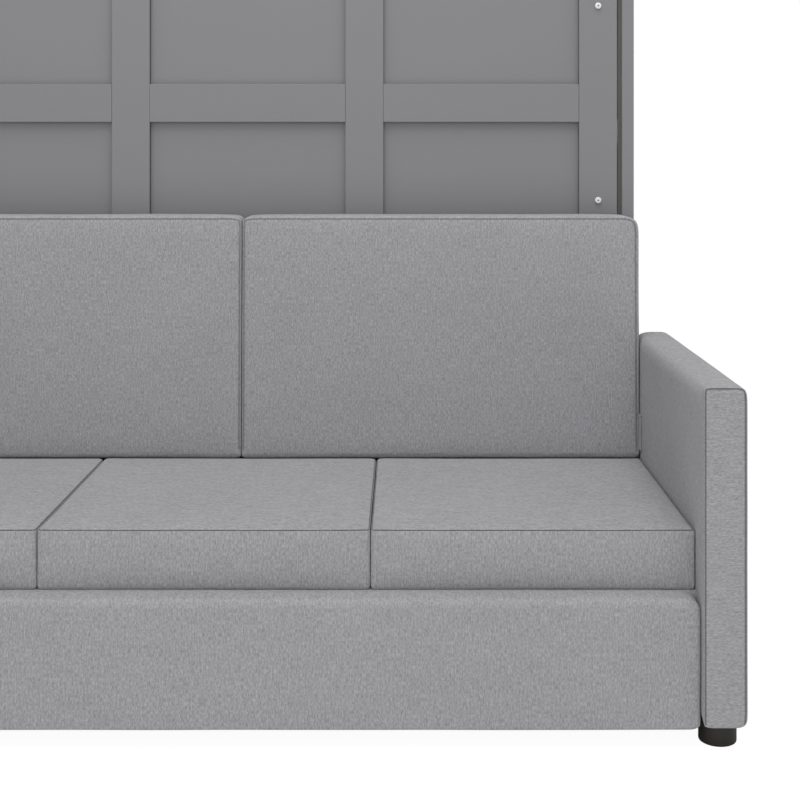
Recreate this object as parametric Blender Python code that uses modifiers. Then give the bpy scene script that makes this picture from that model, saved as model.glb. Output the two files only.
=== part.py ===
"""A queen size wall bed with a sofa in front of it.

The bed stands upright in a shallow cabinet, with a framed face to the room.
It turns down about two pins near the floor and comes to rest above the seat, between the arms.
The backrest folds forward on to the seat with it, and the top ends of the outer stiles are its legs.
Metres, +Z up, the front faces -Y, and the origin is on the floor in the middle of the object.
"""

import math

import bmesh
import bpy
from mathutils import Matrix

# Gaps
TOUCH = 0.0003
PIN_PLAY = 0.0004
SWING_GAP = 0.0015
OVERRUN = 0.004
MERGE_DISTANCE = 0.00003

# Mattress
MATTRESS_WIDTH = 1.520
MATTRESS_LENGTH = 2.032
MATTRESS_THICKNESS = 0.250
MATTRESS_ROUND = 0.034
MATTRESS_CROWN = 0.006
MATTRESS_SIDE_GAP = 0.0025
STRAP_WIDTH = 0.050
STRAP_THICKNESS = 0.002
STRAP_OVERLAP = 0.040
STRAP_CORNER = 0.020
STRAP_PLACE_SHARES = {"lower": 0.30, "upper": 0.70}

# Face of the bed
FACE_BOTTOM = 0.208
FACE_HEAD_MARGIN = 0.0505
FACE_FOOT_MARGIN = 0.0861
BOARD_THICKNESS = 0.012
GRID_THICKNESS = 0.013
STILE_WIDTH = 0.0816
GRID_ROWS = 5
GRID_COLUMNS = 3
GRID_EDGE = 0.0008

# Bed frame and its pivot
PIVOT_HEIGHT = 0.540
PIVOT_SETBACK = 0.045
ANGLE_WALL = 0.003
ANGLE_FACE = 0.050
ANGLE_DEPTH = 0.105
FRAME_END_INSET = 0.0055
CROSS_BAR_WIDTH = 0.040
CROSS_BAR_DEPTH = 0.030
BAR_EDGE = 0.002
SLAT_COUNT = 13
SLAT_WIDTH = 0.070
SLAT_THICKNESS = 0.012
SLAT_END_INSET = 0.012
TAPE_WIDTH = 0.030
TAPE_THICKNESS = 0.003
TAPE_PLACE_SHARES = (-0.66, 0, 0.66)
PIVOT_PIN_RADIUS = 0.008
BUSH_WALL = 0.003
BOSS_WALL = 0.0045
BOSS_LENGTH = 0.020
BOLT_ROWS = 4
BOLT_SHANK_RADIUS = 0.003
BOLT_HEAD_RADIUS = 0.007
BOLT_HEAD_HEIGHT = 0.004
BOLT_HEAD_RIM = 0.0012
BOLT_HEAD_DOME = 0.0004

# Legs
LEG_AXIS_SETBACK = 0.0065
LEG_BACK_INSET = 0.0015
LEG_TOP_RISE = 0.0065
LEG_TOP_GAP = 0.004
LEG_BOTTOM_GAP = 0.003
LEG_FLOOR_GAP = 0.001
LEG_EDGE = 0.002
LEG_PIN_RADIUS = 0.004
LEG_PIN_REACH = 0.045
LEG_PIN_ROOT = 0.030

# Gas struts
STRUT_ROOM = 0.0382
STUD_RADIUS = 0.005
UPPER_STUD_SETBACK = 0.100
UPPER_STUD_RISE = 0.450
LOWER_STUD_SETBACK = 0.050
LOWER_STUD_MARGIN = 0.0765
EYE_RADIUS = 0.011
EYE_WIDTH = 0.014
STRUT_RADIUS = 0.011
STRUT_BORE_RADIUS = 0.008
STRUT_CAP = 0.010
STRUT_GLAND = 0.006
STRUT_END_ROOM = 0.032
ROD_RADIUS = 0.005
PISTON_RADIUS = 0.0076
PISTON_LENGTH = 0.012
PISTON_ROOM = 0.010
PLATE_MARGIN = 0.060
PLATE_FRONT_INSET = 0.004

# Cabinet
CABINET_DEPTH = 0.450
SIDE_THICKNESS = 0.0258
REVEAL = 0.0103
TOP_REVEAL = 0.0076
PANEL_EDGE = 0.001
KICK_HEIGHT = 0.198
WALL_RAIL_THICKNESS = 0.018
WALL_RAIL_HEIGHT = 0.110
MIDDLE_RAIL_SHARE = 0.53

# Sofa base
ARM_CLEARANCE = 0.0311
ARM_THICKNESS = 0.070
ARM_TOP = 0.599
ARM_REACH = 0.717
ARM_REAR_REACH = 0.050
ARM_PADDING = 0.010
ARM_ROUND = 0.009
FOOT_HEIGHT = 0.043
FOOT_RADIUS = 0.0315
FOOT_ROUND = 0.005
FOOT_INSET = 0.060
BASE_BOTTOM = 0.034
BASE_SETBACK = 0.019
BASE_PADDING = 0.040
BASE_ROUND = 0.009
BASE_BOARD = 0.025
BASE_BOARD_BOTTOM = 0.045
DECK_THICKNESS = 0.018

# Seat and back cushions
SEAT_TOP = 0.348
SEAT_CUSHION_HEIGHT = 0.100
SEAT_SETBACK = 0.045
MIDDLE_SEAT_WIDTH = 0.559
SEAT_CROWN = 0.006
SEAT_FRONT_SWELL = 0.003
CUSHION_GAP = 0.002
CUSHION_DRAW = 0.003
CUSHION_ROUND = 0.013
CUSHION_CUTS = 5
BACK_TOP = 0.847
BACK_REACH = 0.1225
BACK_LEAN = 0.017
BACK_SWELL = 0.006
BACK_CLEARANCE = 0.001
BACKREST_BOARD = 0.012
BACKREST_GAP = 0.016
BACKREST_DROP = 0.020
BACKREST_SIDE_GAP = 0.0012
END_PLATE_WALL = 0.0025
END_PLATE_RISE = 0.060
HINGE_RISE = 0.030
HINGE_SETBACK = 0.0045
HINGE_MARGIN = 0.012
HINGE_PIN_RADIUS = 0.005
HINGE_PIN_REACH = 0.024

# Facets of round pieces, and the angle from which an edge counts as sharp
PIN_FACETS = 24
BOLT_FACETS = 12
FOOT_FACETS = 40
ROUND_SEGMENTS = 3
SHARP_ANGLE = math.radians(40)

# Finishes: linear colour, roughness, metallic
PAINTED_PANEL = ((0.238, 0.238, 0.243), 0.55, 0.0)
FABRIC = ((0.300, 0.300, 0.312), 0.95, 0.0)
TICKING = ((0.72, 0.72, 0.70), 0.95, 0.0)
TIMBER = ((0.48, 0.36, 0.23), 0.65, 0.0)
DARK_STEEL = ((0.030, 0.030, 0.032), 0.45, 0.9)
BRIGHT_STEEL = ((0.62, 0.62, 0.63), 0.25, 1.0)
BLACK_PLASTIC = ((0.024, 0.022, 0.020), 0.45, 0.0)
NYLON = ((0.70, 0.70, 0.66), 0.50, 0.0)
WEBBING = ((0.035, 0.035, 0.038), 0.90, 0.0)

SIDES = {"left": -1, "right": 1}

# Widths, each from the middle of the bed outwards
MATTRESS_HALF = MATTRESS_WIDTH / 2
FRAME_INNER = MATTRESS_HALF + MATTRESS_SIDE_GAP
FRAME_HALF = FRAME_INNER + ANGLE_WALL
STRUT_X = FRAME_HALF + STRUT_ROOM / 2
CABINET_INNER = FRAME_HALF + STRUT_ROOM
CABINET_HALF = CABINET_INNER + SIDE_THICKNESS
FACE_HALF = CABINET_INNER - REVEAL
STILE_INNER = FACE_HALF - STILE_WIDTH
STILE_PITCH = (2 * FACE_HALF - STILE_WIDTH) / GRID_COLUMNS
ARM_INNER = FACE_HALF + ARM_CLEARANCE
ARM_OUTER = ARM_INNER + ARM_THICKNESS
BACKREST_HALF = ARM_INNER - BACKREST_SIDE_GAP
PLATE_INNER = CABINET_INNER - TOUCH - ANGLE_WALL

# Heights
FACE_HEIGHT = FACE_HEAD_MARGIN + MATTRESS_LENGTH + FACE_FOOT_MARGIN
FACE_TOP = FACE_BOTTOM + FACE_HEIGHT
MATTRESS_BOTTOM = FACE_BOTTOM + FACE_HEAD_MARGIN
MATTRESS_TOP = MATTRESS_BOTTOM + MATTRESS_LENGTH
RAIL_PITCH = (FACE_HEIGHT - STILE_WIDTH) / GRID_ROWS
FIRST_RAIL = FACE_BOTTOM + STILE_WIDTH / 2
LEG_AXIS_HEIGHT = FIRST_RAIL + RAIL_PITCH * GRID_ROWS
LEG_LENGTH = PIVOT_HEIGHT - PIVOT_SETBACK + LEG_AXIS_SETBACK - LEG_FLOOR_GAP
LEG_BOTTOM = LEG_AXIS_HEIGHT - LEG_LENGTH
LEG_TOP = LEG_AXIS_HEIGHT + LEG_TOP_RISE
CAP_BOTTOM = LEG_TOP + LEG_TOP_GAP
STILE_TOP = LEG_BOTTOM - LEG_BOTTOM_GAP
CABINET_TOP = FACE_TOP + TOP_REVEAL + SIDE_THICKNESS
BASE_TOP = SEAT_TOP - SEAT_CUSHION_HEIGHT
DECK_TOP = BASE_TOP - TOUCH
DECK_BOTTOM = DECK_TOP - DECK_THICKNESS
BOARD_TOP = DECK_BOTTOM - TOUCH
ARM_BOTTOM = FOOT_HEIGHT + TOUCH
BACK_BOTTOM = SEAT_TOP + BACK_CLEARANCE
HINGE_HEIGHT = SEAT_TOP + HINGE_RISE
FRAME_BOTTOM = FACE_BOTTOM + FRAME_END_INSET
FRAME_TOP = FACE_TOP - FRAME_END_INSET
LOWER_STUD_DROP = PIVOT_HEIGHT - FRAME_BOTTOM - LOWER_STUD_MARGIN

# Depths behind the front of the face
BOARD_FRONT = GRID_THICKNESS + TOUCH
FACE_BACK = BOARD_FRONT + BOARD_THICKNESS
ANGLE_FRONT = FACE_BACK + TOUCH
BAR_FRONT = ANGLE_FRONT + ANGLE_WALL + TOUCH
MATTRESS_FRONT = BAR_FRONT + SLAT_THICKNESS + TOUCH
MATTRESS_BACK = MATTRESS_FRONT + MATTRESS_THICKNESS
LEG_BACK = FACE_BACK - LEG_BACK_INSET
UPPER_STUD_DEPTH = PIVOT_SETBACK + UPPER_STUD_SETBACK
LOWER_STUD_DEPTH = PIVOT_SETBACK + LOWER_STUD_SETBACK

# Reaches in front of the face
HINGE_REACH = BACK_REACH - HINGE_SETBACK
BACKREST_FRONT = BACKREST_GAP + BACKREST_BOARD
SEAT_REAR = BACK_REACH + BACK_CLEARANCE
BASE_REAR_FRONT = TOUCH + BASE_BOARD
BASE_REACH = ARM_REACH - BASE_SETBACK
BASE_INSIDE = BASE_REACH - BASE_PADDING
SEAT_REACH = BASE_REACH - SEAT_SETBACK

# The face's place on Y puts the object's middle on the origin
FACE_Y = (ARM_REACH - CABINET_DEPTH) / 2

# Lengths of the struts, with the bed up and down
STRUT_LONG = math.hypot(UPPER_STUD_SETBACK - LOWER_STUD_SETBACK, UPPER_STUD_RISE + LOWER_STUD_DROP)
STRUT_SHORT = math.hypot(UPPER_STUD_SETBACK - LOWER_STUD_DROP, UPPER_STUD_RISE - LOWER_STUD_SETBACK)
STRUT_TILT = math.atan2(LOWER_STUD_SETBACK - UPPER_STUD_SETBACK, UPPER_STUD_RISE + LOWER_STUD_DROP)
STRUT_END = STRUT_SHORT - STRUT_END_ROOM
BORE_START = STRUT_CAP + STRUT_BORE_RADIUS
ROD_LENGTH = STRUT_SHORT - BORE_START - PISTON_ROOM


def clear_scene():
    """Removes what a new file holds."""
    for thing in list(bpy.data.objects):
        bpy.data.objects.remove(thing, do_unlink=True)


def collection(name):
    """A new collection in the scene."""
    group = bpy.data.collections.new(name)
    bpy.context.scene.collection.children.link(group)
    return group


def behind(low, high):
    """Y limits between two depths behind the front of the face."""
    return (FACE_Y + low, FACE_Y + high)


def ahead(low, high):
    """Y limits between two reaches in front of the face."""
    return (FACE_Y - high, FACE_Y - low)


def across(half):
    """X limits that are alike on both sides."""
    return (-half, half)


def beside(sign, inner, outer):
    """X limits on one side, between two distances from the middle."""
    return tuple(sorted((sign * inner, sign * outer)))


def above(low, height):
    """Z limits from a height upwards."""
    return (low, low + height)


def middle(limits):
    """The middle of two limits."""
    return (limits[0] + limits[1]) / 2


def place(name, mesh, location, group):
    """A new object that shows a mesh at a place."""
    thing = bpy.data.objects.new(name, mesh)
    thing.location = location
    group.objects.link(thing)
    return thing


def to_mesh(bm, name):
    """Ends work on a bmesh, with flat faces."""
    mesh = bpy.data.meshes.new(name)
    bm.to_mesh(mesh)
    bm.free()
    return mesh


def cube(name, x, y, z, group, cuts=0, shape=None):
    """A box between limits, with its origin in its middle, cut up and shaped if asked."""
    bm = bmesh.new()
    bmesh.ops.create_cube(bm, size=1)
    if cuts:
        bmesh.ops.subdivide_edges(bm, edges=bm.edges, cuts=cuts, use_grid_fill=True)
    size = [high - low for low, high in (x, y, z)]
    for vert in bm.verts:
        share = [2 * value for value in vert.co]
        vert.co = [value * length for value, length in zip(vert.co, size)]
        if shape:
            vert.co = [value + shift for value, shift in zip(vert.co, shape(*share))]
    return place(name, to_mesh(bm, name), [middle(limits) for limits in (x, y, z)], group)


def rod(name, radius, x, y, z, group, facets=PIN_FACETS):
    """A round bar along X between limits, at one Y and Z."""
    bm = bmesh.new()
    bmesh.ops.create_cone(bm, cap_ends=True, segments=facets, radius1=radius, radius2=radius,
                          depth=x[1] - x[0], matrix=Matrix.Rotation(math.pi / 2, 4, "Y"))
    return place(name, to_mesh(bm, name), (middle(x), y, z), group)


def turned(name, profile, location, group, facets):
    """A turned shape from (radius, height) points that run down its outer side."""
    mesh = bpy.data.meshes.new(name)
    points = [(radius, 0, height) for radius, height in profile]
    mesh.from_pydata(points, [(i, i + 1) for i in range(len(points) - 1)], [])
    thing = place(name, mesh, location, group)
    screw = thing.modifiers.new("turn", "SCREW")
    screw.steps = facets
    screw.render_steps = facets
    screw.use_merge_vertices = True
    screw.merge_threshold = MERGE_DISTANCE
    return thing


def outlined(name, points, z, group):
    """A flat outline in X and Y, filled and made as deep as its Z limits."""
    curve = bpy.data.curves.new(name, "CURVE")
    curve.dimensions = "2D"
    curve.fill_mode = "BOTH"
    curve.extrude = (z[1] - z[0]) / 2
    spline = curve.splines.new("POLY")
    spline.points.add(len(points) - 1)
    for point, (x, y) in zip(spline.points, points):
        point.co = (x, y, 0, 1)
    spline.use_cyclic_u = True
    drawn = place(name + "_outline", curve, (0, 0, middle(z)), group)
    bpy.context.view_layer.update()
    seen = drawn.evaluated_get(bpy.context.evaluated_depsgraph_get())
    mesh = bpy.data.meshes.new_from_object(seen)
    bm = bmesh.new()
    bm.from_mesh(mesh)
    bmesh.ops.remove_doubles(bm, verts=bm.verts, dist=MERGE_DISTANCE)
    bmesh.ops.recalc_face_normals(bm, faces=bm.faces)
    bm.to_mesh(mesh)
    bm.free()
    thing = place(name, mesh, drawn.location, group)
    bpy.data.objects.remove(drawn, do_unlink=True)
    return thing


def bevel(thing, width, segments=1):
    """Rounds the sharp edges."""
    modifier = thing.modifiers.new("edges", "BEVEL")
    modifier.width = width
    modifier.segments = segments
    modifier.limit_method = "ANGLE"
    modifier.angle_limit = SHARP_ANGLE
    return thing


def combine(thing, tool, operation):
    """Joins or cuts a piece with a tool that stays hidden."""
    modifier = thing.modifiers.new(operation.lower(), "BOOLEAN")
    modifier.operation = operation
    modifier.solver = "EXACT"
    modifier.object = tool
    tool.hide_render = True
    tool.display_type = "WIRE"


def finish(thing, look, smooth=True):
    """Gives a piece a material of its own, and smooth shading between its sharp edges."""
    colour, roughness, metallic = look
    material = bpy.data.materials.new(thing.name)
    material.use_nodes = True
    shader = material.node_tree.nodes["Principled BSDF"]
    shader.inputs["Base Color"].default_value = (*colour, 1)
    shader.inputs["Roughness"].default_value = roughness
    shader.inputs["Metallic"].default_value = metallic
    thing.data.materials.clear()
    thing.data.materials.append(material)
    if smooth:
        thing.data.shade_smooth()
        thing.data.set_sharp_from_angle(angle=SHARP_ANGLE)
    return thing


def pivot(name, y, z, group, x=0, tilt=0):
    """An empty on a joint's axis."""
    thing = bpy.data.objects.new(name, None)
    thing.location = (x, y, z)
    thing.rotation_euler = (tilt, 0, 0)
    thing.empty_display_size = STUD_RADIUS
    group.objects.link(thing)
    return thing


def carry(axis, things):
    """Parents pieces to an unturned empty, and leaves them where they are."""
    for thing in things:
        thing.parent = axis
        thing.location = thing.location - axis.location


def face_grid(parts, cutters):
    """Stiles and cross rails that are halved into each other, on the front of the board."""
    front = behind(0, GRID_THICKNESS)
    half = GRID_THICKNESS / 2
    rail_heights = [FIRST_RAIL + RAIL_PITCH * row for row in range(GRID_ROWS + 1)]
    stile_places = [STILE_PITCH * column - FACE_HALF + STILE_WIDTH / 2 for column in range(1, GRID_COLUMNS)]
    slot = STILE_WIDTH / 2 + TOUCH
    made = []

    rail_cuts = [cube("stile_slot", (x - slot, x + slot), behind(-OVERRUN, half + TOUCH / 2),
                      (FACE_BOTTOM - OVERRUN, FACE_TOP + OVERRUN), cutters) for x in stile_places]
    for number, height in enumerate(rail_heights, 1):
        rail = cube(f"cross_rail_{number}", across(STILE_INNER - TOUCH), front,
                    (height - STILE_WIDTH / 2, height + STILE_WIDTH / 2), parts)
        bevel(rail, GRID_EDGE)
        for tool in rail_cuts:
            combine(rail, tool, "DIFFERENCE")
        made.append(finish(rail, PAINTED_PANEL))

    stile_cuts = [cube("rail_slot", across(FACE_HALF), behind(half - TOUCH / 2, GRID_THICKNESS + OVERRUN),
                       (height - slot, height + slot), cutters) for height in rail_heights]
    for number, x in enumerate(stile_places, 1):
        stile = cube(f"inner_stile_{number}", (x - STILE_WIDTH / 2, x + STILE_WIDTH / 2), front,
                     (FACE_BOTTOM, FACE_TOP), parts)
        bevel(stile, GRID_EDGE)
        for tool in stile_cuts:
            combine(stile, tool, "DIFFERENCE")
        made.append(finish(stile, PAINTED_PANEL))
    return made


def bolt_heights():
    """Half way up each row of the grid that has bolts."""
    return [FIRST_RAIL + RAIL_PITCH / 2 + RAIL_PITCH * row for row in range(BOLT_ROWS)]


def face_board(parts, cutters):
    """The board behind the grid, with a notch on each side for the leg."""
    board = cube("face_board", across(FACE_HALF), behind(BOARD_FRONT, FACE_BACK), (FACE_BOTTOM, FACE_TOP), parts)
    for side, sign in SIDES.items():
        notch = cube(f"leg_notch_{side}", beside(sign, STILE_INNER, FACE_HALF + OVERRUN),
                     behind(GRID_THICKNESS - OVERRUN, FACE_BACK + OVERRUN), (STILE_TOP, CAP_BOTTOM), cutters)
        combine(board, notch, "DIFFERENCE")
    return finish(board, PAINTED_PANEL)


def outer_stiles(parts, cutters, board):
    """Outer stiles below the legs and their caps above, with bolt holes through stile and board."""
    made = []
    for side, sign in SIDES.items():
        x = beside(sign, STILE_INNER, FACE_HALF)
        stile = cube(f"outer_stile_{side}", x, behind(0, GRID_THICKNESS), (FACE_BOTTOM, STILE_TOP), parts)
        bevel(stile, GRID_EDGE)
        for height in bolt_heights():
            hole = bolt_hole(middle(x), height, cutters)
            combine(stile, hole, "DIFFERENCE")
            combine(board, hole, "DIFFERENCE")
        cap = cube(f"stile_cap_{side}", x, behind(0, GRID_THICKNESS), (CAP_BOTTOM, FACE_TOP), parts)
        bevel(cap, GRID_EDGE)
        made += [finish(stile, PAINTED_PANEL), finish(cap, PAINTED_PANEL)]
    return made


def bolt_hole(x, height, cutters):
    """A cutter along Y for one bolt's hole through the face."""
    profile = [(0, OVERRUN), (BOLT_SHANK_RADIUS + PIN_PLAY, OVERRUN),
               (BOLT_SHANK_RADIUS + PIN_PLAY, -ANGLE_FRONT - OVERRUN), (0, -ANGLE_FRONT - OVERRUN)]
    hole = turned("bolt_hole", profile, (x, FACE_Y, height), cutters, BOLT_FACETS)
    hole.rotation_euler = (math.pi / 2, 0, 0)
    return hole


def bolt(x, height, cutters):
    """A bolt with a low domed head in front of the face, coned under it, and its end in the steel angle."""
    seat = TOUCH
    profile = [(0, seat + BOLT_HEAD_HEIGHT),
               (BOLT_HEAD_RADIUS / 2, seat + BOLT_HEAD_HEIGHT - BOLT_HEAD_DOME),
               (BOLT_HEAD_RADIUS, seat + BOLT_HEAD_RIM),
               (BOLT_HEAD_RADIUS, seat),
               (BOLT_SHANK_RADIUS, seat / 2),
               (BOLT_SHANK_RADIUS, -ANGLE_FRONT - ANGLE_WALL / 2),
               (0, -ANGLE_FRONT - ANGLE_WALL / 2)]
    thing = turned("bolt", profile, (x, FACE_Y, height), cutters, BOLT_FACETS)
    thing.rotation_euler = (math.pi / 2, 0, 0)
    return thing


def side_rail(side, sign, parts, cutters):
    """A steel angle beside the mattress, with the pivot's boss, the strut's stud and the face's bolts."""
    y0 = FACE_Y + ANGLE_FRONT
    corner = sign * FRAME_HALF
    inner = sign * FRAME_INNER
    toe = sign * (FRAME_HALF - ANGLE_FACE)
    points = [(corner, y0), (toe, y0), (toe, y0 + ANGLE_WALL), (inner, y0 + ANGLE_WALL),
              (inner, y0 + ANGLE_DEPTH), (corner, y0 + ANGLE_DEPTH)]
    rail = outlined(f"bed_side_rail_{side}", points, (FRAME_BOTTOM, FRAME_TOP), parts)

    root = FRAME_HALF - ANGLE_WALL / 2
    bore_radius = PIVOT_PIN_RADIUS + PIN_PLAY + BUSH_WALL + TOUCH
    pivot_y = FACE_Y + PIVOT_SETBACK
    boss = rod("pivot_boss", bore_radius + BOSS_WALL, beside(sign, root, FRAME_HALF + BOSS_LENGTH),
               pivot_y, PIVOT_HEIGHT, cutters)
    stud = rod("lower_stud", STUD_RADIUS, beside(sign, root, STRUT_X - EYE_WIDTH / 2 - TOUCH),
               FACE_Y + LOWER_STUD_DEPTH, PIVOT_HEIGHT - LOWER_STUD_DROP, cutters)
    bore = rod("pivot_bore", bore_radius, beside(sign, FRAME_INNER - OVERRUN, FRAME_HALF + BOSS_LENGTH + OVERRUN),
               pivot_y, PIVOT_HEIGHT, cutters)
    combine(rail, boss, "UNION")
    combine(rail, stud, "UNION")
    for height in bolt_heights():
        combine(rail, bolt(sign * (FACE_HALF - STILE_WIDTH / 2), height, cutters), "UNION")
    combine(rail, bore, "DIFFERENCE")
    return finish(rail, DARK_STEEL)


def pivot_bush(side, sign, parts, cutters):
    """A plain nylon bush in the boss of the side rail."""
    y = FACE_Y + PIVOT_SETBACK
    limits = beside(sign, FRAME_INNER, FRAME_HALF + BOSS_LENGTH)
    hole_limits = beside(sign, FRAME_INNER - OVERRUN, FRAME_HALF + BOSS_LENGTH + OVERRUN)
    inner_radius = PIVOT_PIN_RADIUS + PIN_PLAY
    bush = rod(f"pivot_bush_{side}", inner_radius + BUSH_WALL, limits, y, PIVOT_HEIGHT, parts)
    combine(bush, rod("bush_bore", inner_radius, hole_limits, y, PIVOT_HEIGHT, cutters), "DIFFERENCE")
    return finish(bush, NYLON)


def cross_bar(name, z, parts):
    """A steel bar between the side rails, behind their front flanges."""
    bar = cube(name, across(FRAME_INNER - TOUCH), behind(BAR_FRONT, BAR_FRONT + CROSS_BAR_DEPTH), z, parts)
    bevel(bar, BAR_EDGE)
    return finish(bar, DARK_STEEL)


def slat_deck(parts, cutters):
    """Slats across the bed, threaded on three tapes."""
    y = behind(BAR_FRONT, BAR_FRONT + SLAT_THICKNESS)
    low = MATTRESS_BOTTOM + SLAT_END_INSET
    high = MATTRESS_TOP - SLAT_END_INSET - SLAT_WIDTH
    heights = [low + (high - low) * number / (SLAT_COUNT - 1) for number in range(SLAT_COUNT)]
    half = FRAME_INNER - TOUCH
    deck = cube("slat_deck", across(half), y, above(heights[0], SLAT_WIDTH), parts)
    for height in heights[1:]:
        combine(deck, cube("slat", across(half), y, above(height, SLAT_WIDTH), cutters), "UNION")
    tape_y = (middle(y) - TAPE_THICKNESS / 2, middle(y) + TAPE_THICKNESS / 2)
    for share in TAPE_PLACE_SHARES:
        x = share * half
        tape = cube("tape", (x - TAPE_WIDTH / 2, x + TAPE_WIDTH / 2), tape_y,
                    (heights[0] + BAR_EDGE, heights[-1] + SLAT_WIDTH - BAR_EDGE), cutters)
        combine(deck, tape, "UNION")
    return finish(deck, TIMBER, smooth=False)


def mattress(parts):
    """The mattress, with rounded edges and a free side that falls away from its middle."""
    def swell(u, v, w):
        fall = MATTRESS_CROWN * (1 - (1 - u * u) * (1 - w * w))
        return (0, -fall if v > 0 else 0, 0)
    thing = cube("mattress", across(MATTRESS_HALF), behind(MATTRESS_FRONT, MATTRESS_BACK),
                 (MATTRESS_BOTTOM, MATTRESS_TOP), parts, CUSHION_CUTS, swell)
    bevel(thing, MATTRESS_ROUND, ROUND_SEGMENTS)
    return finish(thing, TICKING)


def mattress_strap(name, share, parts):
    """A webbing strap round the mattress, from one side rail to the other."""
    inner = FRAME_HALF + TOUCH
    outer = inner + STRAP_THICKNESS
    start = FACE_Y + ANGLE_FRONT + ANGLE_DEPTH - STRAP_OVERLAP
    rest = FACE_Y + MATTRESS_BACK + TOUCH
    back = rest + STRAP_THICKNESS
    half = [(outer, start), (outer, back - STRAP_CORNER), (outer - STRAP_CORNER, back)]
    lining = [(inner - STRAP_CORNER, rest), (inner, rest - STRAP_CORNER), (inner, start)]
    points = half + [(-x, y) for x, y in reversed(half)]
    points += [(-x, y) for x, y in reversed(lining)] + lining
    z = MATTRESS_BOTTOM + MATTRESS_LENGTH * share
    return finish(outlined(name, points, (z - STRAP_WIDTH / 2, z + STRAP_WIDTH / 2), parts), WEBBING, smooth=False)


def make_bed(parts, cutters):
    """Everything that turns down together about the pivot pins."""
    board = face_board(parts, cutters)
    made = [board] + face_grid(parts, cutters) + outer_stiles(parts, cutters, board)
    for side, sign in SIDES.items():
        made += [side_rail(side, sign, parts, cutters), pivot_bush(side, sign, parts, cutters)]
    made.append(cross_bar("head_cross_rail", (FRAME_BOTTOM, FRAME_BOTTOM + CROSS_BAR_WIDTH), parts))
    made.append(cross_bar("foot_cross_rail", (FRAME_TOP - CROSS_BAR_WIDTH, FRAME_TOP), parts))
    made += [slat_deck(parts, cutters), mattress(parts)]
    made += [mattress_strap(f"mattress_strap_{name}", share, parts) for name, share in STRAP_PLACE_SHARES.items()]
    carry(pivot("bed_pivot", FACE_Y + PIVOT_SETBACK, PIVOT_HEIGHT, parts), made)
    hole_x = beside(1, STILE_INNER - LEG_PIN_REACH - TOUCH, FACE_HALF)
    top_rail = bpy.data.objects[f"cross_rail_{GRID_ROWS + 1}"]
    for side, sign in SIDES.items():
        hole = rod(f"leg_pin_hole_{side}", LEG_PIN_RADIUS + PIN_PLAY, beside(sign, *hole_x),
                   FACE_Y + LEG_AXIS_SETBACK, LEG_AXIS_HEIGHT, cutters)
        combine(top_rail, hole, "DIFFERENCE")


def make_legs(parts, cutters):
    """Upper ends of the outer stiles, each with its pin into the top cross rail."""
    for side, sign in SIDES.items():
        y = FACE_Y + LEG_AXIS_SETBACK
        leg = cube(f"leg_{side}", beside(sign, STILE_INNER + SWING_GAP, FACE_HALF), behind(0, LEG_BACK),
                   (LEG_BOTTOM, LEG_TOP), parts)
        bevel(leg, LEG_EDGE)
        pin = rod("leg_pin", LEG_PIN_RADIUS, beside(sign, STILE_INNER - LEG_PIN_REACH, STILE_INNER + LEG_PIN_ROOT),
                  y, LEG_AXIS_HEIGHT, cutters)
        combine(leg, pin, "UNION")
        carry(pivot(f"leg_pivot_{side}", y, LEG_AXIS_HEIGHT, parts), [finish(leg, PAINTED_PANEL)])


def eye(depth, cutters):
    """The ring at a strut's end, and the cutter for its hole, at a distance down the strut."""
    ring = rod("eye", EYE_RADIUS, across(EYE_WIDTH / 2), 0, -depth, cutters)
    hole = rod("eye_hole", STUD_RADIUS + PIN_PLAY, across(EYE_WIDTH / 2 + OVERRUN), 0, -depth, cutters)
    return ring, hole


def make_struts(parts, cutters):
    """A gas strut on each side, built down the -Z axis of an empty on its upper stud."""
    bore_end = -STRUT_END + STRUT_GLAND
    gland_radius = ROD_RADIUS + PIN_PLAY
    tube = [(0, 0), (STRUT_RADIUS, -STRUT_CAP), (STRUT_RADIUS, -STRUT_END), (gland_radius, -STRUT_END),
            (gland_radius, bore_end), (STRUT_BORE_RADIUS, bore_end), (STRUT_BORE_RADIUS, -BORE_START),
            (0, -BORE_START)]
    piston_end = ROD_LENGTH - PISTON_LENGTH
    bar = [(0, ROD_LENGTH), (PISTON_RADIUS, ROD_LENGTH), (PISTON_RADIUS, piston_end), (ROD_RADIUS, piston_end),
           (ROD_RADIUS, 0), (0, 0)]
    for side, sign in SIDES.items():
        axis = pivot(f"strut_pivot_{side}", FACE_Y + UPPER_STUD_DEPTH, PIVOT_HEIGHT + UPPER_STUD_RISE, parts,
                     sign * STRUT_X, STRUT_TILT)
        cylinder = turned(f"strut_cylinder_{side}", tube, (0, 0, 0), parts, PIN_FACETS)
        rod_piece = turned(f"strut_rod_{side}", bar, (0, 0, -STRUT_LONG), parts, PIN_FACETS)
        for piece, depth in ((cylinder, 0), (rod_piece, STRUT_LONG)):
            ring, hole = eye(depth, cutters)
            combine(piece, ring, "UNION")
            combine(piece, hole, "DIFFERENCE")
            for thing in (piece, ring, hole):
                thing.parent = axis
        finish(cylinder, DARK_STEEL)
        finish(rod_piece, BRIGHT_STEEL)


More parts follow.
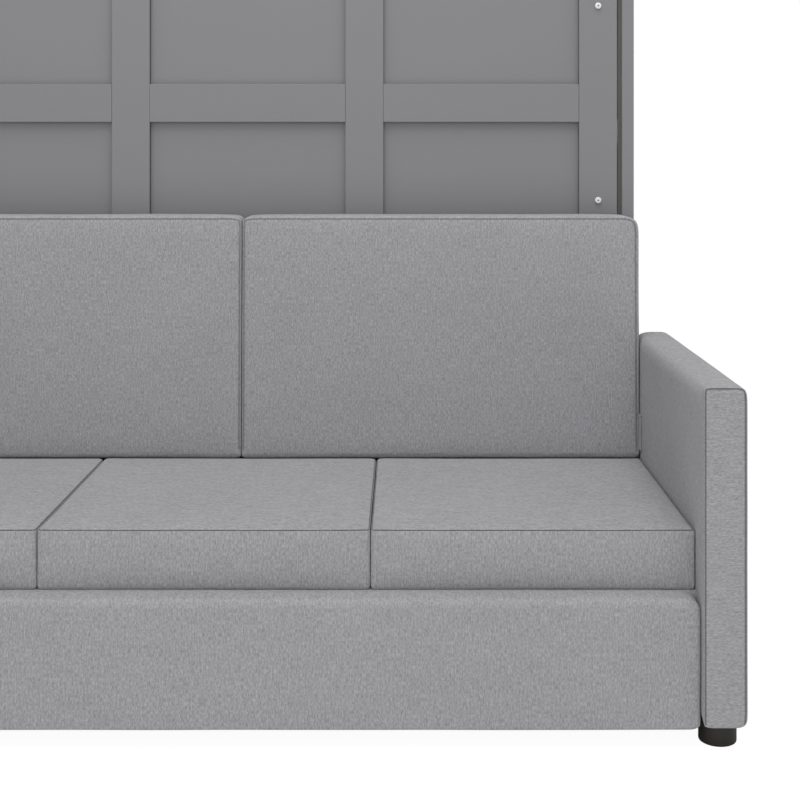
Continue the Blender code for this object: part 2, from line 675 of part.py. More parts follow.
def make_cabinet(parts, cutters):
    """The shallow cabinet round the bed, with its steel plates."""
    depth = behind(0, CABINET_DEPTH)
    side_top = CABINET_TOP - SIDE_THICKNESS - TOUCH
    for side, sign in SIDES.items():
        panel = cube(f"side_panel_{side}", beside(sign, CABINET_INNER, CABINET_HALF), depth, (0, side_top), parts)
        finish(bevel(panel, PANEL_EDGE), PAINTED_PANEL)
        mechanism_plate(side, sign, parts, cutters)
    top = cube("top_panel", across(CABINET_HALF), depth, (side_top + TOUCH, CABINET_TOP), parts)
    finish(bevel(top, PANEL_EDGE), PAINTED_PANEL)
    inside = across(CABINET_INNER - TOUCH)
    kick = cube("kick_board", inside, behind(0, SIDE_THICKNESS), (0, KICK_HEIGHT), parts)
    finish(bevel(kick, PANEL_EDGE), PAINTED_PANEL)
    wall = behind(CABINET_DEPTH - WALL_RAIL_THICKNESS, CABINET_DEPTH)
    rails = {"bottom": 0, "middle": side_top * MIDDLE_RAIL_SHARE, "top": side_top - WALL_RAIL_HEIGHT}
    for name, low in rails.items():
        rail = cube(f"wall_rail_{name}", inside, wall, above(low, WALL_RAIL_HEIGHT), parts)
        finish(bevel(rail, PANEL_EDGE), PAINTED_PANEL)


def mechanism_plate(side, sign, parts, cutters):
    """A steel plate on the cabinet's side, with the bed's pivot pin and the strut's upper stud."""
    root = PLATE_INNER + ANGLE_WALL / 2
    low = PIVOT_HEIGHT - PLATE_MARGIN
    high = PIVOT_HEIGHT + UPPER_STUD_RISE + PLATE_MARGIN
    plate = cube(f"mechanism_plate_{side}", beside(sign, PLATE_INNER, PLATE_INNER + ANGLE_WALL),
                 behind(PLATE_FRONT_INSET, UPPER_STUD_DEPTH + PLATE_MARGIN), (low, high), parts)
    pin = rod("pivot_pin", PIVOT_PIN_RADIUS, beside(sign, FRAME_INNER + TOUCH, root),
              FACE_Y + PIVOT_SETBACK, PIVOT_HEIGHT, cutters)
    stud = rod("upper_stud", STUD_RADIUS, beside(sign, STRUT_X - EYE_WIDTH / 2, root),
               FACE_Y + UPPER_STUD_DEPTH, PIVOT_HEIGHT + UPPER_STUD_RISE, cutters)
    combine(plate, pin, "UNION")
    combine(plate, stud, "UNION")
    finish(plate, BRIGHT_STEEL)


def make_base(parts):
    """The sofa's upholstered front and the boards behind it."""
    half = ARM_INNER - TOUCH
    front = cube("base_front", across(half), ahead(BASE_INSIDE, BASE_REACH), (BASE_BOTTOM, BASE_TOP), parts)
    finish(bevel(front, BASE_ROUND, ROUND_SEGMENTS), FABRIC)
    boards = (BASE_BOARD_BOTTOM, BOARD_TOP)
    finish(cube("base_rear", across(half), ahead(TOUCH, BASE_REAR_FRONT), boards, parts), TIMBER)
    run = ahead(BASE_REAR_FRONT + TOUCH, BASE_INSIDE - TOUCH)
    for side, sign in SIDES.items():
        finish(cube(f"base_side_{side}", beside(sign, half - BASE_BOARD, half), run, boards, parts), TIMBER)
    finish(cube("base_centre_rail", across(BASE_BOARD / 2), run, boards, parts), TIMBER)
    deck = ahead(TOUCH, BASE_INSIDE - TOUCH)
    finish(cube("seat_deck", across(half), deck, (DECK_BOTTOM, DECK_TOP), parts), TIMBER)


def foot_profile():
    """A round foot's outer side, with a rounded lower edge."""
    turns = [math.pi / 2 * step / ROUND_SEGMENTS for step in range(ROUND_SEGMENTS + 1)]
    edge = [(FOOT_RADIUS - FOOT_ROUND * (1 - math.cos(turn)), FOOT_ROUND * (1 - math.sin(turn))) for turn in turns]
    return [(0, FOOT_HEIGHT), (FOOT_RADIUS, FOOT_HEIGHT)] + edge + [(0, 0)]


def make_arms(parts, cutters):
    """A padded cover over a frame at each end, on two feet, with a hole for the backrest's pin."""
    for side, sign in SIDES.items():
        y = ahead(ARM_REAR_REACH, ARM_REACH)
        arm = cube(f"arm_{side}", beside(sign, ARM_INNER, ARM_OUTER), y, (ARM_BOTTOM, ARM_TOP), parts)
        bevel(arm, ARM_ROUND, ROUND_SEGMENTS)
        hollow_y = (y[0] + ARM_PADDING, y[1] - ARM_PADDING)
        hollow_x = beside(sign, ARM_INNER + ARM_PADDING, ARM_OUTER - ARM_PADDING)
        hollow = cube(f"arm_hollow_{side}", hollow_x, hollow_y, (ARM_BOTTOM - OVERRUN, ARM_TOP - ARM_PADDING), cutters)
        combine(arm, hollow, "DIFFERENCE")
        frame = cube(f"arm_frame_{side}", (hollow_x[0] + TOUCH, hollow_x[1] - TOUCH),
                     (hollow_y[0] + TOUCH, hollow_y[1] - TOUCH), (ARM_BOTTOM, ARM_TOP - ARM_PADDING - TOUCH), parts)
        hole_x = beside(sign, ARM_INNER - OVERRUN, BACKREST_HALF + HINGE_PIN_REACH + TOUCH)
        hole = rod(f"hinge_hole_{side}", HINGE_PIN_RADIUS + PIN_PLAY, hole_x, FACE_Y - HINGE_REACH, HINGE_HEIGHT,
                   cutters)
        combine(arm, hole, "DIFFERENCE")
        combine(frame, hole, "DIFFERENCE")
        finish(arm, FABRIC)
        finish(frame, TIMBER, smooth=False)
        for end, reach in (("front", ARM_REACH - FOOT_INSET), ("rear", ARM_REAR_REACH + FOOT_INSET)):
            foot_place = (sign * (ARM_INNER + ARM_THICKNESS / 2), FACE_Y - reach, 0)
            foot = turned(f"foot_{end}_{side}", foot_profile(), foot_place, parts, FOOT_FACETS)
            finish(foot, BLACK_PLASTIC)


def seat_shape(u, v, w):
    """Crown on top, a slight swell in front, and sides that draw in between the corners."""
    top = SEAT_CROWN * (1 - u * u) * (1 - v * v) if w > 0 else 0
    front = -SEAT_FRONT_SWELL * (1 - u * u) * (1 - w * w) if v < 0 else 0
    return (-CUSHION_DRAW * u * (1 - v * v), front, top * w)


def back_shape(u, v, w):
    """A swollen front that leans back, flat behind, with sides that draw in between the corners."""
    front = BACK_LEAN * (w + 1) / 2 - BACK_SWELL * (1 - u * u) * (1 - w * w) if v < 0 else 0
    return (-CUSHION_DRAW * u * (1 - w * w), front * abs(v), -CUSHION_DRAW * w * (1 - u * u))


def cushion(name, x, y, z, shape, parts):
    """A soft cushion between limits."""
    thing = cube(name, x, y, z, parts, CUSHION_CUTS, shape)
    return finish(bevel(thing, CUSHION_ROUND, ROUND_SEGMENTS), FABRIC)


def make_seat(parts):
    """Three cushions on the deck."""
    half = MIDDLE_SEAT_WIDTH / 2
    places = {"left": (-ARM_INNER + CUSHION_GAP / 2, -half - CUSHION_GAP / 2),
              "middle": (CUSHION_GAP / 2 - half, half - CUSHION_GAP / 2),
              "right": (half + CUSHION_GAP / 2, ARM_INNER - CUSHION_GAP / 2)}
    for name, x in places.items():
        cushion(f"seat_cushion_{name}", x, ahead(SEAT_REAR, SEAT_REACH), (BASE_TOP, SEAT_TOP), seat_shape,
                parts)


def make_backrest(parts, cutters):
    """A board with an end plate and a pin at each end, and the two back cushions in front of it."""
    top = BACK_TOP - BACKREST_DROP
    board = cube("backrest_frame", across(BACKREST_HALF), ahead(BACKREST_GAP, BACKREST_FRONT),
                 (BACK_BOTTOM, top), parts)
    cushion_half = BACKREST_HALF - END_PLATE_WALL - TOUCH
    made = [board]
    for side, sign in SIDES.items():
        plate = cube("end_plate", beside(sign, BACKREST_HALF - END_PLATE_WALL, BACKREST_HALF),
                     ahead(BACKREST_FRONT - BACKREST_BOARD / 2, HINGE_REACH + HINGE_MARGIN),
                     (HINGE_HEIGHT - HINGE_MARGIN, HINGE_HEIGHT + END_PLATE_RISE), cutters)
        pin = rod("hinge_pin", HINGE_PIN_RADIUS,
                  beside(sign, BACKREST_HALF - END_PLATE_WALL / 2, BACKREST_HALF + HINGE_PIN_REACH),
                  FACE_Y - HINGE_REACH, HINGE_HEIGHT, cutters)
        combine(board, plate, "UNION")
        combine(board, pin, "UNION")
        made.append(cushion(f"back_cushion_{side}", beside(sign, CUSHION_GAP / 2, cushion_half),
                            ahead(BACKREST_FRONT + TOUCH, BACK_REACH), (BACK_BOTTOM, BACK_TOP), back_shape, parts))
    finish(board, TIMBER, smooth=False)
    carry(pivot("backrest_pivot", FACE_Y - HINGE_REACH, HINGE_HEIGHT, parts), made)


def main():
    """Builds the whole object."""
    clear_scene()
    parts = collection("wall_bed")
    cutters = collection("cutters")
    make_cabinet(parts, cutters)
    make_bed(parts, cutters)
    make_legs(parts, cutters)
    make_struts(parts, cutters)
    make_base(parts)
    make_arms(parts, cutters)
    make_seat(parts)
    make_backrest(parts, cutters)
    bpy.context.view_layer.update()


main()
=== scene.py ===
"""Dresses a packed wall bed: its upholstery, mattress, fixings, finishes, studio and camera.

Metres, +Z up, the front faces -Y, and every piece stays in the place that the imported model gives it.
"""

import math

import bpy
import numpy as np
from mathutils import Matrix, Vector, noise


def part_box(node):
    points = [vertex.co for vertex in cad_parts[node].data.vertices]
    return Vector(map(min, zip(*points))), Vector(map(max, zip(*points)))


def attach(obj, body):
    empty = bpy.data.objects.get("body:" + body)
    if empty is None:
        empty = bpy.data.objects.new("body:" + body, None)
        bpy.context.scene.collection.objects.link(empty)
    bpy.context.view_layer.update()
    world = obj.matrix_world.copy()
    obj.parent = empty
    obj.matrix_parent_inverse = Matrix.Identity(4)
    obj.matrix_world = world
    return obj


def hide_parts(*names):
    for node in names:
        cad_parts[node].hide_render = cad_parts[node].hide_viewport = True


bl_info = {
    "name": "Wall bed with a sofa",
    "version": (1, 0, 0),
    "blender": (4, 5, 0),
    "location": "View3D > Sidebar > Wall bed",
    "description": "Upholstery, mattress, fixings and finishes of a wall bed with a sofa in front",
    "category": "Add Mesh",
}

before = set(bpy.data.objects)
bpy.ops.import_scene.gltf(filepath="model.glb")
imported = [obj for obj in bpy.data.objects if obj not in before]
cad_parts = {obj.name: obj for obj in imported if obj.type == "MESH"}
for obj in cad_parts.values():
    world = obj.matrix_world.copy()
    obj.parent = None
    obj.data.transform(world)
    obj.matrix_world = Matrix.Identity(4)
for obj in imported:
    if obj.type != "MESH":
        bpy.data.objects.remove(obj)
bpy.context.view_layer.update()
SIDES = {"left": -1, "right": 1}

# Places that several pieces share: the face and the stiles from the imported model, the bolts' heights and
# the struts' studs given
FACE_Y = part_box("outer_stile_right")[0].y
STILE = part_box("outer_stile_right")
BOLT_X = (STILE[0].x + STILE[1].x) / 2
BOLT_HEIGHTS = (0.45748, 0.87488, 1.29228, 1.70968)
UPPER_STUD = Vector((0.7846, 0.2785, 0.990))
LOWER_STUD = Vector((0.7846, 0.2285, 0.290))

# Filling of a padded piece, by a short cloth simulation
FILL_PRESSURE = 0.5
FILL_STIFFNESS = 150
FILL_BENDING = 5
FILL_FRAMES = 12

# Graded grid: where its lines lie over a rounded edge and on to the end of a corner, as shares of each
EDGE_SHARES = (0, 0.25, 0.6, 1)
CORNER_SHARES = (0.12, 0.45, 1)
# The line, counted from the rim of a front panel, that the panel's seam follows
PANEL_LINE = 3
# Cuts that one subdivision may make, which is also more than the lines of any grid
MOST_CUTS = 100

# How near to the end of its range a share counts as on the end
ON_END = 1e-4

# Angles between faces: from which an edge is rounded, and up to which it is shaded smooth
SHARP_EDGE = math.radians(50)
SMOOTH_ANGLE = math.radians(35)


class ClothSettings(bpy.types.PropertyGroup):
    """Sizes and colours of the upholstery."""
    colour: bpy.props.FloatVectorProperty(
        name="Cloth", description="Colour of the woven cloth", subtype="COLOR",
        default=(0.2945, 0.2970, 0.3065))
    tint: bpy.props.FloatVectorProperty(
        name="Heather", description="Colour of the odd threads", subtype="COLOR",
        default=(0.298, 0.289, 0.303))
    seam_depth: bpy.props.FloatProperty(
        name="Seam depth", description="How far a seam pulls the cloth in", subtype="DISTANCE",
        default=0.0022)
    panel_seam: bpy.props.FloatProperty(
        name="Panel seam", description="Depth of a sewn-in panel's seam, as a share of the others",
        default=0.6)
    swell: bpy.props.FloatProperty(
        name="Swell", description="How far the filling may push the cloth out", subtype="DISTANCE",
        default=0.009)
    unevenness: bpy.props.FloatProperty(
        name="Unevenness", description="Height of the soft irregularities", subtype="DISTANCE",
        default=0.0006)


class BedSettings(bpy.types.PropertyGroup):
    """Sizes and colours of the mattress."""
    ticking: bpy.props.FloatVectorProperty(
        name="Ticking", description="Colour of the mattress cover", subtype="COLOR",
        default=(0.70, 0.70, 0.68))
    quilt_depth: bpy.props.FloatProperty(
        name="Quilting depth", description="Depth of the sewn channels", subtype="DISTANCE",
        default=0.006)
    tape: bpy.props.FloatVectorProperty(
        name="Edge tape colour", description="Colour of the mattress's edge tape", subtype="COLOR",
        default=(0.56, 0.56, 0.55))
    tape_radius: bpy.props.FloatProperty(
        name="Edge tape", description="Radius of the tape round the mattress's edges", subtype="DISTANCE",
        default=0.0045)


class PaintSettings(bpy.types.PropertyGroup):
    """Colours of the boards and metal."""
    panel: bpy.props.FloatVectorProperty(
        name="Panels", description="Colour of the painted boards", subtype="COLOR",
        default=(0.1965, 0.1965, 0.2025))
    cap: bpy.props.FloatVectorProperty(
        name="Bolt caps", description="Colour of the bolts' caps", subtype="COLOR",
        default=(0.70, 0.70, 0.70))
    # The felt strips are near black so that they stand in for the shade in the gap round the face: painted
    # shade.
    felt: bpy.props.FloatVectorProperty(
        name="Felt", description="Colour of the strips round the face", subtype="COLOR",
        default=(0.090, 0.087, 0.083))
    cap_radius: bpy.props.FloatProperty(
        name="Cap radius", description="Radius of a bolt's cap", subtype="DISTANCE",
        default=0.00705)
    cap_height: bpy.props.FloatProperty(
        name="Cap height", description="Height of a bolt's cap", subtype="DISTANCE",
        default=0.0046)


class StageSettings(bpy.types.PropertyGroup):
    """Camera and light."""
    camera_place: bpy.props.FloatVectorProperty(
        name="Camera", description="Place of the camera", subtype="TRANSLATION", unit="LENGTH",
        default=(0.336, -2.8295, 0.993))
    lens: bpy.props.FloatProperty(name="Lens", description="Focal length in millimetres", default=62.1)
    shift: bpy.props.FloatVectorProperty(
        name="Shift", description="Shift of the lens, as a share of the picture", size=2,
        default=(-0.005, -0.3184))
    room_light: bpy.props.FloatProperty(
        name="Room light", description="Strength of the even light", default=0.53)
    top_light: bpy.props.FloatProperty(
        name="Top light", description="Power of the softbox above", unit="POWER", default=120.0)
    front_light: bpy.props.FloatProperty(
        name="Front light", description="Power of the softbox in front", unit="POWER", default=72.0)


# Materials

class Shade:
    """One value in a material. Expressions on it add Math nodes."""

    def __init__(self, finish, socket):
        self.finish = finish
        self.socket = socket

    def maths(self, operation, *values):
        """A Math node on this value and others."""
        return self.finish.add("ShaderNodeMath", {"operation": operation}, dict(enumerate(values)))

    def __add__(self, other):
        return self.maths("ADD", self, other)

    __radd__ = __add__

    def __sub__(self, other):
        return self.maths("SUBTRACT", self, other)

    def __rsub__(self, other):
        return self.maths("SUBTRACT", other, self)

    def __mul__(self, other):
        return self.maths("MULTIPLY", self, other)

    __rmul__ = __mul__

    def __pow__(self, other):
        return self.maths("POWER", self, other)

    def __gt__(self, other):
        return self.maths("GREATER_THAN", self, other)

    def __abs__(self):
        return self.maths("ABSOLUTE", self)

    def wave(self):
        """The sine of this value."""
        return self.maths("SINE", self)

    def held(self):
        """This value kept between 0 and 1."""
        return self.finish.add("ShaderNodeClamp", {}, {"Value": self})


def named(sockets):
    """The shader's names of sockets that are written as Python names."""
    return {key.replace("_", " ").title().replace("Ior", "IOR"): value for key, value in sockets.items()}


class Tree:
    """The nodes of a material or a world."""

    def __init__(self, owner):
        owner.use_nodes = True
        self.nodes = owner.node_tree.nodes
        self.links = owner.node_tree.links

    def feed(self, node, sockets):
        """Links or sets a node's sockets."""
        for key, value in sockets.items():
            socket = node.inputs[key]
            if isinstance(value, Shade):
                self.links.new(value.socket, socket)
            elif hasattr(value, "__len__") and socket.type == "RGBA":
                socket.default_value = (*value, 1)
            else:
                socket.default_value = value

    def add(self, kind, settings, sockets, out=0):
        """One output of a new node, with its settings and the values or links of its sockets."""
        node = self.nodes.new(kind)
        for key, value in settings.items():
            setattr(node, key, value)
        self.feed(node, sockets)
        return Shade(self, node.outputs[out])


class Finish(Tree):
    """A material under construction."""

    def __init__(self, name, **sockets):
        self.material = bpy.data.materials.new(name)
        super().__init__(self.material)
        self.shader = self.nodes["Principled BSDF"]
        self.feed(self.shader, named(sockets))

    def place(self):
        """Coordinates on the piece, in metres."""
        return self.add("ShaderNodeTexCoord", {}, {}, "Object")

    def split(self, vector):
        """The three parts of a vector."""
        node = self.add("ShaderNodeSeparateXYZ", {}, {0: vector}).socket.node
        return [Shade(self, output) for output in node.outputs]

    def joined(self, x, y, z):
        """A vector of three values."""
        return self.add("ShaderNodeCombineXYZ", {}, {0: x, 1: y, 2: z})

    def grain(self, vector, scale, detail=2.0, roughness=0.5):
        """Noise about 0, from about -0.5 to 0.5."""
        return self.add("ShaderNodeTexNoise", {}, {"Vector": vector, "Scale": scale, "Detail": detail,
                                                   "Roughness": roughness}) - 0.5

    def mixed(self, share, low, high):
        """A colour between two."""
        return self.add("ShaderNodeMix", {"data_type": "RGBA"}, {0: share, 6: low, 7: high}, 2)

    def shaded(self, colour, level):
        """A colour made lighter or darker."""
        return self.add("ShaderNodeVectorMath", {"operation": "SCALE"}, {0: colour, "Scale": level})

    def seam(self):
        """1 on the piece's seams, 0 elsewhere."""
        return self.add("ShaderNodeAttribute", {"attribute_name": "seam"}, {}, "Fac")

    def surface(self, **sockets):
        """Feeds the shader, and raises a height into its normal."""
        height, depth = sockets.pop("height", None), sockets.pop("depth", 0)
        wanted = named(sockets)
        if height is not None:
            wanted["Normal"] = self.add("ShaderNodeBump", {}, {"Height": height, "Distance": depth,
                                                               "Strength": 1.0})
        self.feed(self.shader, wanted)
        return self.material


def cloth_finish(name, turned=False, wrapped=False):
    """A heathered plain weave with short slubs, with painted shade in and beside its seams.

    Its threads run up the sides of a piece and from side to side on its top. They are turned round on a
    turned cloth, and run over the top edge without a break on a wrapped one.
    """
    settings = bpy.context.scene.wall_bed_cloth
    made = Finish(name, roughness=0.95, sheen_weight=0.12, sheen_roughness=0.6, specular_ior_level=0.25)
    x, y, z = made.split(made.place())
    nx, ny, nz = (abs(part) for part in made.split(made.add("ShaderNodeTexCoord", {}, {}, "Normal")))
    up = (nz > nx) * (nz > ny)
    side = (1 - up) * (nx > ny)
    across = x + (y - x) * (up + side)
    along = z + (x - z) * up
    if turned:
        across, along = along, across
    if wrapped:
        across, along = x, z + y
    layer = up * 3.7 + side * 1.9

    def yarn(per_metre_across, per_metre_along, shift, detail):
        """Noise that is stretched along the threads."""
        place = made.joined(across * per_metre_across, along * per_metre_along, layer + shift)
        return made.grain(place, 1.0, detail)

    warp, heather = yarn(460, 150, 0, 2.0), yarn(130, 60, 0, 2.0)
    weft, slub = yarn(260, 400, 7, 1.0), yarn(300, 36, 3, 1.0)
    cloud, fuzz = made.grain(made.place(), 7.0, 3.0), made.grain(made.place(), 430.0, 2.0)
    thread_rate = 3900
    threads = (across * thread_rate).wave() * (along * thread_rate).wave()
    warp_share = 0.9 if turned else 1.05
    level = 1 + warp * warp_share + weft * 0.32 + slub * 0.42 + cloud * 0.12 + threads * 0.04
    # Painted shade: the cloth is darkened along the seams' grooves, and more faintly beside them.
    seam = made.seam()
    level = level * (1 - (seam.held() ** 0.7) * 0.85)
    base = made.mixed((heather * 2.4 + 0.35).held(), settings.colour, settings.tint)
    return made.surface(base_color=made.shaded(base, level), height=fuzz, depth=0.0006)


def sofa_cloth():
    """The cloth of the whole sofa, made once."""
    return bpy.data.materials.get("sofa_cloth") or cloth_finish("sofa_cloth")


def felt_finish(name, colour):
    """Short fibres, pressed."""
    made = Finish(name, roughness=0.95, specular_ior_level=0.2)
    place = made.place()
    fibres = made.grain(place, 900.0, 3.0, 0.7)
    cloud = made.grain(place, 12.0, 2.0)
    return made.surface(base_color=made.shaded(colour, 1 + fibres * 0.5 + cloud * 0.2), height=fibres,
                        depth=0.0005)


def paint_finish(name, colour, edge=1.0):
    """Satin paint on a board, with a faint texture and unevenness, and painted shade on its sides: faces that
    don't face front or back are scaled by edge.
    """
    made = Finish(name, specular_ior_level=0.35)
    place = made.place()
    cloud = made.grain(place, 2.5, 3.0)
    speckle = made.grain(place, 900.0, 1.0)
    peel = made.grain(place, 260.0, 2.0)
    _, facing, _ = made.split(made.add("ShaderNodeTexCoord", {}, {}, "Normal"))
    flat = abs(facing) > 0.7
    # Painted shade: the board's sides are darkened to edge, as if they lay in the shade of the recesses.
    level = (1 + cloud * 0.06 + speckle * 0.05) * (edge + flat * (1 - edge))
    return made.surface(base_color=made.shaded(colour, level), roughness=0.5 + cloud * 0.12 + speckle * 0.06,
                        height=peel, depth=0.0002)


def wood_finish(name, light, dark, run):
    """Planed timber with its grain along one axis, 0 to 2."""
    made = Finish(name)
    parts = made.split(made.place())
    stretch = [60, 60, 60]
    stretch[run] = 3
    grain = made.grain(made.joined(*(part * scale for part, scale in zip(parts, stretch))), 1.0, 4.0, 0.6)
    pores = made.grain(made.joined(*(part * scale * 7 for part, scale in zip(parts, stretch))), 1.0, 2.0)
    rings = ((grain * 26).wave() * 0.5 + 0.5) ** 2
    share = (rings * 0.45 + grain + 0.35 + pores * 0.5).held()
    return made.surface(base_color=made.mixed(share, light, dark), roughness=0.62 + pores * 0.2,
                        height=pores, depth=0.0003)


def metal_finish(name, colour, roughness, metallic, speck=0.08):
    """Coated or plated steel, slightly mottled."""
    made = Finish(name, metallic=metallic)
    place = made.place()
    cloud = made.grain(place, 30.0, 3.0)
    fine = made.grain(place, 700.0, 2.0)
    return made.surface(base_color=made.shaded(colour, 1 + cloud * speck + fine * speck),
                        roughness=roughness + cloud * 0.14 + fine * 0.10, height=fine, depth=0.00015)


def plastic_finish(name, colour, roughness):
    """Moulded plastic with a fine spark-eroded grain."""
    made = Finish(name)
    place = made.place()
    fine = made.grain(place, 1400.0, 1.0)
    cloud = made.grain(place, 24.0, 2.0)
    return made.surface(base_color=made.shaded(colour, 1 + cloud * 0.1 + fine * 0.12),
                        roughness=roughness + fine * 0.15, height=fine, depth=0.0002)


def webbing_finish(name, colour, tint):
    """Woven webbing with ribs across its run."""
    made = Finish(name, roughness=0.8)
    x, y, z = made.split(made.place())
    run = x + y
    ribs = (run * 2400).wave()
    rows = (z * 1500).wave()
    speck = made.grain(made.joined(run * 500, z * 500, 0), 1.0, 1.0)
    share = (ribs * rows * 0.35 + 0.4 + speck).held()
    return made.surface(base_color=made.mixed(share, colour, tint), height=ribs * 0.5 + rows * 0.5,
                        depth=0.0004)


def ticking_finish(name, colour):
    """Knitted mattress cover with a small raised figure."""
    made = Finish(name, roughness=0.9, sheen_weight=0.1)
    x, y, z = made.split(made.place())
    figure = ((x + z) * 260).wave() * ((x - z) * 260).wave()
    knit = made.grain(made.joined(x * 500, y * 500, z * 500), 1.0, 2.0)
    # Painted shade: the ticking is a little darker along its seams.
    seam = made.seam()
    level = (1 + figure * 0.05 + knit * 0.14) * (1 - seam * 0.22)
    return made.surface(base_color=made.shaded(colour, level), height=figure * 0.5 + knit * 0.5,
                        depth=0.0006)


def dress(things, material):
    """Gives pieces one material."""
    for thing in things:
        thing.data.materials.clear()
        thing.data.materials.append(material)


def cad(*names):
    """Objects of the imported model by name."""
    return [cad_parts[name] for name in names]


def both(name):
    """A name for each side."""
    return [f"{name}_{side}" for side in SIDES]


# Modelling

def primitive(kind, name, **settings):
    """A primitive alone in the selection."""
    bpy.ops.object.select_all(action="DESELECT")
    getattr(bpy.ops.mesh, f"primitive_{kind}_add")(**settings)
    thing = bpy.context.object
    thing.name = name
    thing.data.name = name
    return thing


def pick(*things):
    """Selects pieces alone, with the last one active."""
    bpy.ops.object.select_all(action="DESELECT")
    for thing in things:
        thing.select_set(True)
    bpy.context.view_layer.objects.active = things[-1]


def settle(thing):
    """Moves a piece's place, turn and scale into its mesh."""
    pick(thing)
    bpy.ops.object.transform_apply(location=True, rotation=True, scale=True)
    return thing


def modify(thing, kind, **settings):
    """Adds a modifier and applies it."""
    modifier = thing.modifiers.new(kind.lower(), kind)
    for key, value in settings.items():
        setattr(modifier, key, value)
    pick(thing)
    bpy.ops.object.modifier_apply(modifier=modifier.name)


def ease(thing, width, segments=3):
    """Rounds a piece's sharp edges."""
    modify(thing, "BEVEL", width=width, segments=segments, limit_method="ANGLE", angle_limit=SHARP_EDGE)


def points(thing, kind="co"):
    """The places of a mesh's points as an array, or their normals when kind is normal."""
    made = np.empty(len(thing.data.vertices) * 3)
    thing.data.vertices.foreach_get(kind, made)
    return made.reshape(-1, 3)


def set_points(thing, made):
    """Writes a mesh's points."""
    thing.data.vertices.foreach_set("co", made.ravel())
    thing.data.update()


def edge_ends(thing):
    """The first points of a mesh's edges, and their second points."""
    made = np.empty(len(thing.data.edges) * 2, int)
    thing.data.edges.foreach_get("vertices", made)
    return made.reshape(-1, 2).T


def smooth_faces(thing):
    """Smooth shading, except over sharp edges."""
    pick(thing)
    bpy.ops.object.shade_smooth_by_angle(angle=SMOOTH_ANGLE)


def end_lines(fillet, corner):
    """Distances of the grid's lines from one end, close together over the fillet and the corner."""
    made = [share * fillet for share in EDGE_SHARES]
    if corner > fillet:
        made += [fillet + share * (corner - fillet) for share in CORNER_SHARES]
    return made


def grid_lines(low, high, near, far, step):
    """Lines between two limits, with given distances of the first ones from either end."""
    run = high - far[-1] - low - near[-1]
    count = max(1, round(run / step))
    inner = [low + near[-1] + run * number / count for number in range(1, count)]
    return np.array([low + end for end in near] + inner + [high - end for end in reversed(far)])


def cut_along(thing, axis, cuts):
    """Subdivides the edges that run along one axis."""
    bpy.ops.object.mode_set(mode="EDIT")
    bpy.ops.mesh.select_mode(type="EDGE")
    bpy.ops.mesh.select_all(action="DESELECT")
    bpy.ops.object.mode_set(mode="OBJECT")
    place = points(thing)[:, axis]
    one, other = edge_ends(thing)
    thing.data.edges.foreach_set("select", np.abs(place[one] - place[other]) > 0.5)
    bpy.ops.object.mode_set(mode="EDIT")
    bpy.ops.mesh.subdivide(number_cuts=cuts)
    bpy.ops.object.mode_set(mode="OBJECT")


def thin_bar(name, low, high, run, edge, segments=3):
    """A bar between two corners, cut along one axis, with rounded edges."""
    low, high = Vector(low), Vector(high)
    thing = primitive("cube", name, size=1)
    cut_along(thing, run, MOST_CUTS)
    thing.location, thing.scale = (low + high) / 2, high - low
    ease(settle(thing), edge, segments)
    thing.data.shade_smooth()
    return thing


def soft_block(name, low, high, fillets, flat, corners, step, pinch=None):
    """A soft block on a graded grid, and where each point lies on it, from -1 to 1.

    fillets holds the radii of its edges for each axis, at the lower and at the upper ends. Its outline
    across the axis flat has rounded corners. corners holds their two radii for each end of the outline's
    second axis, and the function pinch may make them smaller from place to place.
    """
    low, high, fillets = np.array(low), np.array(high), np.array(fillets)
    first, second = (axis for axis in range(3) if axis != flat)
    reach = [(0, 0)] * 3
    reach[first] = (max(corners[0][0], corners[1][0]),) * 2
    reach[second] = (corners[0][1], corners[1][1])
    lines = [grid_lines(low[axis], high[axis], end_lines(fillets[0][axis], reach[axis][0]),
                        end_lines(fillets[1][axis], reach[axis][1]), step) for axis in range(3)]
    thing = primitive("cube", name, size=1)
    for axis in range(3):
        cut_along(thing, axis, len(lines[axis]) - 2)
    share = points(thing) * 2
    made = np.empty_like(share)
    for axis in range(3):
        made[:, axis] = lines[axis][np.rint((share[:, axis] + 1) / 2 * (len(lines[axis]) - 1)).astype(int)]
    share = (made - (low + high) / 2) / (high - low) * 2
    fillet = np.where(share < 0, fillets[0], fillets[1])
    core = np.clip(made, low + fillets[0], high - fillets[1])
    away = (made - core) / fillet
    rounded = np.where(made[:, second] > (low + high)[second] / 2, corners[1][0], corners[0][0]) > 0
    reach_out = np.maximum(np.abs(away[:, first]), np.abs(away[:, second]))
    length = np.where(rounded, np.hypot(reach_out, away[:, flat]), np.linalg.norm(away, axis=1))[:, None]
    tightness = pinch(made) if pinch else 1
    made = np.where(length > 0, core + fillet * away / np.maximum(length, 1e-9), made)
    for end, (across, along) in zip((-1, 1), corners):
        if not across:
            continue
        beyond, outward = [], np.sign(made[:, first] - (low + high)[first] / 2)
        for axis, radius, way in ((first, across * tightness, outward),
                                  (second, along * tightness, np.full(len(made), end))):
            edge = np.where(way > 0, high[axis], low[axis]) - way * radius
            beyond.append((edge, way, radius, (made[:, axis] - edge) * way / radius))
        u, v = beyond[0][3], beyond[1][3]
        inside = (u > 0) & (v > 0)
        shrink = np.where(inside, np.maximum(u, v) / np.maximum(np.hypot(u, v), 1e-9), 1)
        for axis, (edge, way, radius, share_out) in zip((first, second), beyond):
            made[:, axis] = np.where(inside, edge + way * radius * share_out * shrink, made[:, axis])
    set_points(thing, made)
    return thing, share


